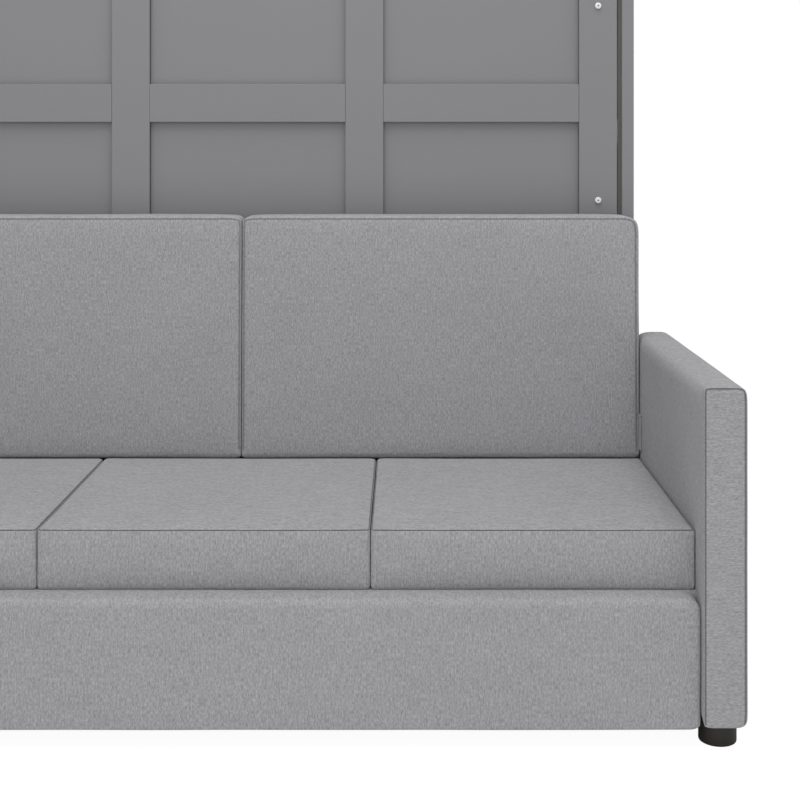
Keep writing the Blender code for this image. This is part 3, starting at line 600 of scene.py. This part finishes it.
def fill(thing, travel, low, high):
    """Swells a piece with a short cloth simulation, no further than its travel and its limits."""
    rest = points(thing)
    cloth = thing.modifiers.new("fill", "CLOTH")
    settings = cloth.settings
    settings.quality = 4
    settings.use_pressure = True
    settings.uniform_pressure_force = FILL_PRESSURE
    settings.effector_weights.gravity = 0
    settings.tension_stiffness = FILL_STIFFNESS
    settings.compression_stiffness = FILL_STIFFNESS
    settings.bending_stiffness = FILL_BENDING
    cloth.point_cache.frame_end = FILL_FRAMES
    for number in range(1, FILL_FRAMES + 1):
        bpy.context.scene.frame_set(number)
    pick(thing)
    bpy.ops.object.modifier_apply(modifier=cloth.name)
    bpy.context.scene.frame_set(1)
    move = points(thing) - rest
    size = np.linalg.norm(move, axis=1, keepdims=True)
    set_points(thing, np.clip(rest + move * travel / (size + travel), low, high))


def rounded_path(corners, radii, closed):
    """Points of a path in a plane, with an arc at each corner."""
    made, count = [], len(corners)
    for number, corner in enumerate(corners):
        if not closed and number in (0, count - 1):
            made.append(np.array(corner))
            continue
        before, after = corners[number - 1], corners[(number + 1) % count]
        here = np.array(corner)
        ways = [np.array(other) - here for other in (before, after)]
        ways = [way / np.linalg.norm(way) for way in ways]
        middle = here + (ways[0] + ways[1]) * radii
        made += [middle - (ways[1] * math.cos(turn) + ways[0] * math.sin(turn)) * radii
                 for turn in np.linspace(0, math.pi / 2, 9)]
    return np.array(made + made[:1] if closed else made)


def along_path(path, shares):
    """Places on a path and the directions square to it, at shares of its length."""
    steps = np.linalg.norm(np.diff(path, axis=0), axis=1)
    reach = np.concatenate([[0], np.cumsum(steps)])
    reach /= reach[-1]

    def at(shares):
        """Places on the path."""
        return np.stack([np.interp(shares, reach, path[:, axis]) for axis in (0, 1)], axis=1)

    nudge = 0.0005
    way = at(np.clip(shares + nudge, 0, 1)) - at(np.clip(shares - nudge, 0, 1))
    way /= np.linalg.norm(way, axis=1, keepdims=True)
    return at(shares), np.stack([way[:, 1], -way[:, 0]], axis=1)


def roughen(thing, height, seed):
    """Soft irregularities over a piece, along its normals."""
    place = points(thing)
    amount = [noise.noise(Vector(point) * 7 + Vector((seed, 0, 0))) for point in place]
    set_points(thing, place + points(thing, "normal") * np.array(amount)[:, None] * height)


def sew(thing, loops, depth, strength=1.0, spread=0.45):
    """Pulls the points of the seams in and marks them, and the points beside them more faintly."""
    set_points(thing, points(thing) - points(thing, "normal") * loops[:, None] * depth)
    ends = edge_ends(thing)
    beside = np.zeros(len(loops))
    for one, other in (ends, ends[::-1]):
        np.maximum.at(beside, one, loops[other] * spread)
    # The marks set how much painted shade the materials put along the seams.
    seam = thing.data.attributes.new("seam", "FLOAT", "POINT")
    seam.data.foreach_set("value", (np.maximum(loops, beside) * strength).astype(np.float32))


def rim(share, axis, end, line=0):
    """1 on the border of one side of a block, or on the given grid line inside it, 0 elsewhere."""
    on_side = np.abs(share[:, axis] - end) < ON_END
    ring = np.full(len(share), MOST_CUTS)
    for other in range(3):
        if other != axis:
            levels, place = np.unique(np.round(share[:, other], 5), return_inverse=True)
            ring = np.minimum(ring, np.minimum(place, len(levels) - 1 - place))
    return (on_side & (ring == line)).astype(float)


def upholster(thing, loops, node, body, strength=1.0, spread=0.45):
    """Ends a padded piece: seams, one subdivision, its material, and its place in the model."""
    settings = bpy.context.scene.wall_bed_cloth
    roughen(thing, settings.unevenness, len(thing.name))
    depth = settings.seam_depth * (1 if spread else settings.panel_seam)
    sew(thing, loops, depth, strength, spread)
    modify(thing, "SUBSURF", levels=1, render_levels=1)
    thing.data.shade_smooth()
    dress([thing], sofa_cloth())
    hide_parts(node)
    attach(thing, body)


# Operators

class WALLBED_OT_panels(bpy.types.Operator):
    """Paints the cabinet, the bed's face and the legs"""
    bl_idname = "wallbed.panels"
    bl_label = "Painted panels"

    def execute(self, context):
        colour = context.scene.wall_bed_paint.panel
        cabinet = both("side_panel") + ["top_panel", "kick_board", "wall_rail_bottom", "wall_rail_middle",
                                        "wall_rail_top"]
        face = ["face_board", "inner_stile_1", "inner_stile_2"]
        face += [f"cross_rail_{number}" for number in range(1, 7)]
        face += both("outer_stile") + both("stile_cap") + both("leg")
        dress(cad(*cabinet), paint_finish("cabinet_paint", colour))
        # 0.4: painted shade on the sides of the face's boards, stiles and rails.
        dress(cad(*face), paint_finish("face_paint", colour, 0.4))
        return {"FINISHED"}


class WALLBED_OT_framing(bpy.types.Operator):
    """Finishes the steel frame, the timber and the small plastic parts"""
    bl_idname = "wallbed.framing"
    bl_label = "Frames and boards"

    def execute(self, context):
        light, dark = (0.56, 0.42, 0.27), (0.36, 0.24, 0.14)
        dress(cad(*both("bed_side_rail"), "head_cross_rail", "foot_cross_rail"),
              metal_finish("dark_coated_steel", (0.045, 0.045, 0.048), 0.42, 0.3))
        dress(cad(*both("mechanism_plate")), metal_finish("plated_steel", (0.60, 0.60, 0.61), 0.30, 1.0))
        dress(cad("slat_deck"), wood_finish("slat_timber", (0.66, 0.52, 0.34), (0.46, 0.32, 0.19), 0))
        dress(cad("base_centre_rail", *both("arm_frame")), wood_finish("rail_timber", light, dark, 1))
        dress(cad(*both("pivot_bush")), plastic_finish("nylon", (0.66, 0.66, 0.62), 0.45))
        dress(cad("backrest_frame"), sofa_cloth())
        # Painted shade: the frame boards that show in the gaps round the cushions are near black, so that
        # they read as the shade there.
        dress(cad("base_rear", "seat_deck", *both("base_side")),
              wood_finish("stained_timber", (0.062, 0.052, 0.043), (0.034, 0.028, 0.024), 0))
        return {"FINISHED"}


class WALLBED_OT_bolts(bpy.types.Operator):
    """Caps the bolts that hold the outer stiles"""
    bl_idname = "wallbed.bolts"
    bl_label = "Bolt caps"

    def execute(self, context):
        settings = context.scene.wall_bed_paint
        radius, height = settings.cap_radius, settings.cap_height
        rounding, slot_width, slot_length = 0.0024, 0.0013, 0.0040
        cap = primitive("cylinder", "bolt_cap", vertices=40, radius=radius, depth=height,
                        location=(0, FACE_Y - height / 2, 0), rotation=(math.pi / 2, 0, 0))
        settle(cap)
        ease(cap, rounding, 4)
        for turn in (0, math.pi / 2):
            slot = primitive("cube", "slot", size=1, location=(0, FACE_Y - height, 0), rotation=(0, turn, 0),
                             scale=(slot_length, height * 0.5, slot_width))
            modify(cap, "BOOLEAN", operation="DIFFERENCE", object=slot, solver="EXACT")
            bpy.data.objects.remove(slot, do_unlink=True)
        dress([cap], plastic_finish("white_cap", settings.cap, 0.4))
        smooth_faces(cap)
        for side, sign in SIDES.items():
            for number, level in enumerate(BOLT_HEIGHTS, 1):
                copy = cap.copy()
                copy.data = cap.data.copy()
                copy.name = f"bolt_cap_{side}_{number}"
                context.scene.collection.objects.link(copy)
                copy.location = (sign * BOLT_X, 0, level)
                settle(copy)
                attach(copy, "bed")
        bpy.data.objects.remove(cap, do_unlink=True)
        return {"FINISHED"}


class WALLBED_OT_struts(bpy.types.Operator):
    """Makes the gas struts with their eyes"""
    bl_idname = "wallbed.struts"
    bl_label = "Gas struts"

    def execute(self, context):
        dark = metal_finish("strut_coating", (0.030, 0.030, 0.032), 0.35, 0.2)
        bright = metal_finish("chromed_rod", (0.66, 0.66, 0.67), 0.16, 1.0, 0.02)
        eye_radius, eye_width, eye_edge, bar_edge = 0.0108, 0.0136, 0.0018, 0.0016
        overlap, cylinder_reach, rod_reach = 0.009, 0.3957, 0.3790
        cylinder_radius, rod_radius = 0.0108, 0.0050
        lean = -math.atan2(UPPER_STUD.y - LOWER_STUD.y, UPPER_STUD.z - LOWER_STUD.z)
        down = (LOWER_STUD - UPPER_STUD).normalized()
        for side, sign in SIDES.items():
            top, bottom = (Vector((sign * stud.x, stud.y, stud.z)) for stud in (UPPER_STUD, LOWER_STUD))
            for body, end, near, far, radius, look in (
                    ("cylinder", top, overlap, cylinder_reach, cylinder_radius, dark),
                    ("rod", bottom, -overlap, -rod_reach, rod_radius, bright)):
                middle = end + down * (near + far) / 2
                bar = primitive("cylinder", f"{body}_bar_{side}", vertices=48, radius=radius,
                                depth=abs(far - near), location=middle, rotation=(lean, 0, 0))
                ease(settle(bar), bar_edge)
                ring = primitive("cylinder", f"{body}_eye_{side}", vertices=40, radius=eye_radius,
                                 depth=eye_width, location=end, rotation=(0, math.pi / 2, 0))
                ease(settle(ring), eye_edge)
                pick(ring, bar)
                bpy.ops.object.join()
                bar.name = f"gas_strut_{body}_{side}"
                smooth_faces(bar)
                dress([bar], look)
                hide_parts(f"strut_{body}_{side}")
                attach(bar, f"{side}_{body}")
        return {"FINISHED"}


class WALLBED_OT_mattress(bpy.types.Operator):
    """Makes the quilted mattress with its taped edges"""
    bl_idname = "wallbed.mattress"
    bl_label = "Mattress"

    def execute(self, context):
        settings = context.scene.wall_bed_mattress
        low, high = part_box("mattress")
        inset, edge, corner, step, travel, seam_depth = 0.004, 0.016, 0.045, 0.0245, 0.007, 0.002
        start, end = low + Vector((inset,) * 3), high - Vector((inset,) * 3)
        thing, share = soft_block("mattress_cover", start, end, ((edge,) * 3,) * 2, 1,
                                  ((corner,) * 2,) * 2, step)
        fill(thing, travel, np.array(low), np.array(high))
        panels_across, panels_along, softness, border = 6, 8, 0.16, 0.965
        run = [np.abs(np.sin(np.pi * count * (share[:, axis] + 1) / 2))
               for axis, count in ((0, panels_across), (2, panels_along))]
        channel = np.exp(-(np.minimum(*run) / softness) ** 2) * (np.abs(share[:, 1]) > 1 - ON_END)
        channel *= np.max(np.abs(share[:, [0, 2]]), axis=1) < border
        seams = np.clip(rim(share, 1, 1) + rim(share, 1, -1), 0, 1)
        place = points(thing)
        place[:, 1] -= np.sign(share[:, 1]) * channel * settings.quilt_depth
        set_points(thing, place)
        sew(thing, seams, seam_depth)
        modify(thing, "SUBSURF", levels=1, render_levels=1)
        thing.data.shade_smooth()
        dress([thing], ticking_finish("ticking", settings.ticking))
        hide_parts("mattress")
        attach(thing, "bed")

        radius, turn_radius, play, slimness = settings.tape_radius, 0.042, 0.0005, 0.25
        look = ticking_finish("edge_tape", settings.tape)
        room = radius + play
        across, foot, head = high.x - room, low.z + room, high.z - room
        ring = rounded_path([(-across, foot), (across, foot), (across, head), (-across, head)],
                            turn_radius, True)
        for name, level in (("front", low.y + room), ("rear", high.y - room)):
            tape = primitive("torus", f"mattress_tape_{name}", major_segments=288, minor_segments=10,
                             major_radius=1, minor_radius=slimness)
            flat = points(tape)
            turn = np.arctan2(flat[:, 1], flat[:, 0]) / (2 * math.pi) % 1
            out = (np.hypot(flat[:, 0], flat[:, 1]) - 1) / slimness
            place, way = along_path(ring, turn)
            place += way * out[:, None] * radius
            depth = level - flat[:, 2] / slimness * radius
            set_points(tape, np.stack([place[:, 0], depth, place[:, 1]], axis=1))
            tape.data.shade_smooth()
            dress([tape], look)
            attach(tape, "bed")
        return {"FINISHED"}


class WALLBED_OT_straps(bpy.types.Operator):
    """Makes the webbing straps that hold the mattress"""
    bl_idname = "wallbed.straps"
    bl_label = "Mattress straps"

    def execute(self, context):
        look = webbing_finish("webbing", (0.030, 0.030, 0.034), (0.075, 0.075, 0.082))
        thickness, corner, edge, rows = 0.002, 0.020, 0.0005, 6
        for name in ("lower", "upper"):
            low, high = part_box(f"mattress_strap_{name}")
            side, back = high.x - thickness / 2, high.y - thickness / 2
            run = rounded_path([(-side, low.y), (-side, back), (side, back), (side, low.y)], corner, False)
            strap = primitive("plane", f"webbing_strap_{name}", size=1)
            cut_along(strap, 0, MOST_CUTS)
            cut_along(strap, 1, rows)
            flat = points(strap)
            place, _ = along_path(run, flat[:, 0] + 0.5)
            set_points(strap, np.stack([place[:, 0], place[:, 1], (low.z + high.z) / 2 + flat[:, 1]
                                        * (high.z - low.z)], axis=1))
            modify(strap, "SOLIDIFY", thickness=thickness, offset=0)
            ease(strap, edge, 2)
            strap.data.shade_smooth()
            dress([strap], look)
            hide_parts(f"mattress_strap_{name}")
            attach(strap, "bed")
        return {"FINISHED"}


class WALLBED_OT_base(bpy.types.Operator):
    """Makes the upholstered front of the base"""
    bl_idname = "wallbed.base"
    bl_label = "Base front"

    def execute(self, context):
        low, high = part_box("base_front")
        wrap, bow, step = 0.011, 0.002, 0.0175
        side_proud, front_proud, drop, top_inset = 0.0002, 0.0010, 0.0030, 0.0004
        start = low - Vector((side_proud, front_proud, drop))
        end = high + Vector((side_proud, wrap, -top_inset))
        edges = ((0.006, 0.009, 0.006), (0.006, 0.005, 0.013))
        corners = ((0.018, 0.011), (0.026, 0.023))
        thing, share = soft_block("base_cover", start, end, edges, 1, corners, step)
        place = points(thing)
        place[:, 1] -= (1 - share[:, 0] ** 8) * (1 - share[:, 2] ** 4) * bow * (share[:, 1] < ON_END - 1)
        set_points(thing, place)
        upholster(thing, rim(share, 1, 1), "base_front", "cabinet")
        dress([thing], cloth_finish("base_cloth", wrapped=True))

        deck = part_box("seat_deck")
        trim_depth, trim_drop, trim_edge, proud = 0.060, 0.0045, 0.0006, 0.0005
        covers = [("deck_edge_cover", (deck[0].x - proud, deck[0].y - 2 * proud, deck[0].z - trim_drop),
                   (deck[1].x + proud, deck[0].y + trim_depth, deck[1].z + proud), 0, trim_edge)]
        cheek, cheek_edge, inside_arm, room, under_backrest = 0.012, 0.004, 0.035, 0.001, 0.006
        front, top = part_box("arm_right")[1].y - inside_arm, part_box("backrest_frame")[0].z - under_backrest
        for side, sign in SIDES.items():
            ends = sorted((sign * deck[1].x, sign * (deck[1].x - cheek)))
            covers.append((f"deck_cheek_{side}", (ends[0], front, deck[1].z + proud),
                           (ends[1], deck[1].y - room, top), 1, cheek_edge))
        for sizes in covers:
            cover = thin_bar(*sizes)
            dress([cover], sofa_cloth())
            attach(cover, "cabinet")
        return {"FINISHED"}


class WALLBED_OT_arms(bpy.types.Operator):
    """Makes the padded arms with a sewn-in front panel"""
    bl_idname = "wallbed.arms"
    bl_label = "Arms"

    def execute(self, context):
        turned = cloth_finish("sofa_cloth_turned", turned=True)
        front_corner, outer_corner, run_in = 0.36, 0.62, 0.045
        inner_proud, outer_proud, rear_proud, drop, bow = 0.0001, 0.0016, 0.0030, 0.0004, 0.0008
        inner_edge, outer_edge, end_edge, bottom_edge, top_edge = 0.0014, 0.0030, 0.0042, 0.004, 0.0016
        corners, step, seam_end = ((0.025, 0.024), (0.024, 0.024)), 0.013, -0.98
        panel_depth, facing_front = 0.003, -0.7
        for side, sign in SIDES.items():
            low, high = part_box(f"arm_{side}")
            proud = (inner_proud, outer_proud)[::sign]
            start, end = low + Vector((-proud[0], 0, -drop)), high + Vector((proud[1], rear_proud, 0))

            def pinch(place, sign=sign, middle=(low.x + high.x) / 2, front=low.y):
                """Corners that are tight at the front panel and outside, and soft along the inner edges."""
                soft = front_corner + (1 - front_corner) * np.clip((place[:, 1] - front) / run_in, 0, 1)
                return np.where((place[:, 0] - middle) * sign < 0, soft, outer_corner)

            edge = (inner_edge, outer_edge)[::sign]
            edges = ((edge[0], end_edge, bottom_edge), (edge[1], end_edge, top_edge))
            thing, share = soft_block(f"arm_cover_{side}", start, end, edges, 1, corners, step, pinch)
            place = points(thing)
            for axis in (1, 2):
                others = [other for other in range(3) if other != axis]
                bulge = np.prod(1 - share[:, others] ** 4, axis=1) * (share[:, axis] > 1 - ON_END)
                place[:, axis] += bulge * bow
            set_points(thing, place)
            panel_seam = rim(share, 1, -1, PANEL_LINE) * (share[:, 2] > seam_end)
            upholster(thing, panel_seam + rim(share, 1, 1), f"arm_{side}", "cabinet", 0.8, 0)
            thing.data.materials.append(turned)
            front = low.y + panel_depth
            for face in thing.data.polygons:
                if face.normal.y < facing_front and face.center.y < front:
                    face.material_index = 1
        return {"FINISHED"}


class WALLBED_OT_seats(bpy.types.Operator):
    """Makes the three seat cushions"""
    bl_idname = "wallbed.seats"
    bl_label = "Seat cushions"

    def execute(self, context):
        travel = context.scene.wall_bed_cloth.swell
        room, arm_inset, seat_inset = 0.0009, 0.0002, -0.0007
        front_inset, rear_inset, top_inset = 0.0030, 0.0005, 0.0042
        arm_edge, edge, bottom_edge = 0.0072, 0.0042, 0.009
        corners, step, arm_corner = ((0.007, 0.006), (0.016, 0.013)), 0.013, 0.45
        arm_zone = 0.05
        near_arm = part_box("seat_cushion_right")[1].x - arm_zone

        def pinch(place):
            """Tighter corners beside the arms."""
            return np.where(np.abs(place[:, 0]) > near_arm, arm_corner, 1)

        for name in ("left", "middle", "right"):
            low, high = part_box(f"seat_cushion_{name}")
            inset, side_edge = zip(*((arm_inset, arm_edge) if name == side else (seat_inset, edge)
                                     for side in SIDES))
            start = low + Vector((inset[0], front_inset, 0))
            end = high - Vector((inset[1], rear_inset, top_inset))
            edges = ((side_edge[0], edge, bottom_edge), (side_edge[1], edge, edge))
            thing, share = soft_block(f"seat_cover_{name}", start, end, edges, 2, corners, step, pinch)
            fill(thing, travel, np.array(low) + (-room, 0, 0), np.array(high) + (room, 0, 0))
            upholster(thing, rim(share, 2, 1), f"seat_cushion_{name}", "cabinet")
        return {"FINISHED"}


class WALLBED_OT_backs(bpy.types.Operator):
    """Makes the two back cushions"""
    bl_idname = "wallbed.backs"
    bl_label = "Back cushions"

    def execute(self, context):
        travel = context.scene.wall_bed_cloth.swell
        lean, drop, front_inset, rear_inset, top_inset, top_room = 0.017, 0.003, 0.006, 0.0005, 0.0008, 0.001
        middle_room, end_room, middle_inset, end_inset = 0.0009, 0.0033, 0.0002, 0.0004
        middle_edge, end_edge, face_edge, bottom_edge, top_edge = 0.0026, 0.0065, 0.0065, 0.011, 0.0055
        corners, step, seam_end = ((0.014, 0.012), (0.030, 0.025)), 0.013, -0.94
        middle, middle_corner = 0.1, 0.65

        def pinch(place):
            """Tighter corners where the cushions meet."""
            return np.where(np.abs(place[:, 0]) < middle, middle_corner, 1)

        for side, sign in SIDES.items():
            low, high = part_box(f"back_cushion_{side}")
            room, inset, edge = (pair[::sign] for pair in (
                (middle_room, end_room), (middle_inset, end_inset), (middle_edge, end_edge)))
            start = low + Vector((inset[0] - room[0], front_inset, -drop))
            end = high - Vector((inset[1] - room[1], rear_inset, top_inset))
            edges = ((edge[0], face_edge, bottom_edge), (edge[1], face_edge, top_edge))
            thing, share = soft_block(f"back_cover_{side}", start, end, edges, 1, corners, step, pinch)
            fill(thing, travel, np.array(low) - (room[0], 0, drop), np.array(high) + (room[1], 0, top_room))
            place = points(thing)
            front = (high.y - place[:, 1]) / (high.y - low.y)
            rise = (place[:, 2] - low.z) / (high.z - low.z)
            place[:, 1] += lean * rise * front
            set_points(thing, place)
            panel_seam = rim(share, 1, -1, PANEL_LINE) * (share[:, 2] > seam_end)
            upholster(thing, panel_seam + rim(share, 1, 1), f"back_cushion_{side}", "backrest", 0.5, 0)
        return {"FINISHED"}


class WALLBED_OT_gap_shade_strips(bpy.types.Operator):
    """Makes the dark felt strips that close the gap round the face; their dark colour is painted shade,
    standing in for the shade in that gap
    """
    bl_idname = "wallbed.seals"
    bl_label = "Gap shade_strips"

    def execute(self, context):
        look = felt_finish("seal_felt", context.scene.wall_bed_paint.felt)
        play, setback, thickness, edge, unevenness, seed = 0.0012, 0.0012, 0.0024, 0.0006, 0.0004, 5
        panel_x, stile_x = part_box("side_panel_right")[0].x, STILE[1].x + play
        bottom, top = (corner.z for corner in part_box("face_board"))
        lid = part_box("top_panel")[0].z
        near = FACE_Y + setback
        far = near + thickness
        for name, low, high, run in (
                ("gap_seal_right", (stile_x, near, bottom), (panel_x, far, lid), 2),
                ("gap_seal_left", (-panel_x, near, bottom), (-stile_x, far, lid), 2),
                ("gap_seal_top", (-stile_x, near, top + play), (stile_x, far, lid), 0)):
            strip = thin_bar(name, low, high, run, edge, 2)
            roughen(strip, unevenness, seed)
            dress([strip], look)
            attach(strip, "cabinet")
        return {"FINISHED"}


class WALLBED_OT_feet(bpy.types.Operator):
    """Makes the round feet under the arms"""
    bl_idname = "wallbed.feet"
    bl_label = "Feet"

    def execute(self, context):
        look, edge = plastic_finish("foot_plastic", (0.0070, 0.0055, 0.0040), 0.6), 0.0035
        for side in SIDES:
            for end in ("front", "rear"):
                low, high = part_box(f"foot_{end}_{side}")
                centre, size = (low + high) / 2, high - low
                foot = primitive("cylinder", f"round_foot_{end}_{side}", vertices=72, radius=size.x / 2,
                                 depth=size.z, location=centre)
                ease(settle(foot), edge, 4)
                smooth_faces(foot)
                dress([foot], look)
                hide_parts(f"foot_{end}_{side}")
                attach(foot, "cabinet")
        return {"FINISHED"}


class WALLBED_OT_stage(bpy.types.Operator):
    """Makes the floor, the lights and the camera"""
    bl_idname = "wallbed.stage"
    bl_label = "Studio"

    def execute(self, context):
        settings = context.scene.wall_bed_stage
        scene = context.scene
        scene.view_settings.view_transform = "Standard"

        scene.world = bpy.data.worlds.new("studio_air")
        air = Tree(scene.world)
        camera_ray, glossy_ray, clear_ray = (air.add("ShaderNodeLightPath", {}, {}, f"Is {kind} Ray")
                                             for kind in ("Camera", "Glossy", "Transmission"))
        white = camera_ray.maths("MAXIMUM", camera_ray, glossy_ray)
        white = white.maths("MAXIMUM", white, clear_ray)
        strength = air.add("ShaderNodeMapRange", {}, {"Value": white, "To Min": settings.room_light,
                                                      "To Max": 1.0})
        air.feed(air.nodes["Background"], {"Color": (1, 1, 1), "Strength": strength})

        floor = primitive("plane", "studio_floor", size=60)
        made = Finish("floor_paper", base_color=(0.86, 0.86, 0.86), roughness=0.9, specular_ior_level=0.1)
        glow_strength, glow_share = 1.06, 0.9
        glow = made.add("ShaderNodeEmission", {}, {"Color": (1, 1, 1), "Strength": glow_strength})
        path = made.add("ShaderNodeLightPath", {}, {}, "Is Camera Ray")
        paper = Shade(made, made.shader.outputs[0])
        both_looks = made.add("ShaderNodeMixShader", {}, {0: path * glow_share, 1: paper, 2: glow})
        made.links.new(both_looks.socket, made.nodes["Material Output"].inputs["Surface"])
        dress([floor], made.material)

        for name, power, place, size, aim in (
                ("top_softbox", settings.top_light, (0.4, -1.6, 4.6), 3.2, (0, -0.2, 0.8)),
                ("front_softbox", settings.front_light, (-0.6, -5.6, 2.2), 3.6, (0, 0, 1.0))):
            bpy.ops.object.light_add(type="AREA", location=place)
            lamp = context.object
            lamp.name = name
            lamp.data.energy = power
            lamp.data.size = size
            lamp.rotation_euler = (Vector(aim) - Vector(place)).to_track_quat("-Z", "Y").to_euler()

        bpy.ops.object.camera_add(location=settings.camera_place, rotation=(math.pi / 2, 0, 0))
        camera = context.object
        camera.name = "studio_camera"
        camera.data.lens = settings.lens
        camera.data.shift_x, camera.data.shift_y = settings.shift
        scene.camera = camera
        return {"FINISHED"}


class WALLBED_PT_panel(bpy.types.Panel):
    """Lists the pieces of the wall bed"""
    bl_label = "Wall bed"
    bl_idname = "WALLBED_PT_panel"
    bl_space_type = "VIEW_3D"
    bl_region_type = "UI"
    bl_category = "Wall bed"

    def draw(self, context):
        for name in GROUPS:
            settings = getattr(context.scene, name)
            for key in settings.bl_rna.properties.keys():
                if key not in ("rna_type", "name"):
                    self.layout.prop(settings, key)
        for operator in OPERATORS:
            self.layout.operator(operator.bl_idname)


GROUPS = {"wall_bed_cloth": ClothSettings, "wall_bed_mattress": BedSettings, "wall_bed_paint": PaintSettings,
          "wall_bed_stage": StageSettings}
OPERATORS = (WALLBED_OT_stage, WALLBED_OT_panels, WALLBED_OT_framing, WALLBED_OT_bolts, WALLBED_OT_struts,
             WALLBED_OT_mattress, WALLBED_OT_straps, WALLBED_OT_base, WALLBED_OT_arms, WALLBED_OT_seats,
             WALLBED_OT_backs, WALLBED_OT_feet, WALLBED_OT_gap_shade_strips)


def register():
    """Adds the classes and the settings."""
    for kind in (*GROUPS.values(), *OPERATORS, WALLBED_PT_panel):
        bpy.utils.register_class(kind)
    for name, kind in GROUPS.items():
        setattr(bpy.types.Scene, name, bpy.props.PointerProperty(type=kind))


def unregister():
    """Takes the settings and the classes away."""
    for name in GROUPS:
        delattr(bpy.types.Scene, name)
    for kind in reversed((*GROUPS.values(), *OPERATORS, WALLBED_PT_panel)):
        bpy.utils.unregister_class(kind)


def main():
    """Makes every piece."""
    register()
    for operator in OPERATORS:
        group, name = operator.bl_idname.split(".")
        getattr(getattr(bpy.ops, group), name)()


if __name__ == "__main__":
    main()
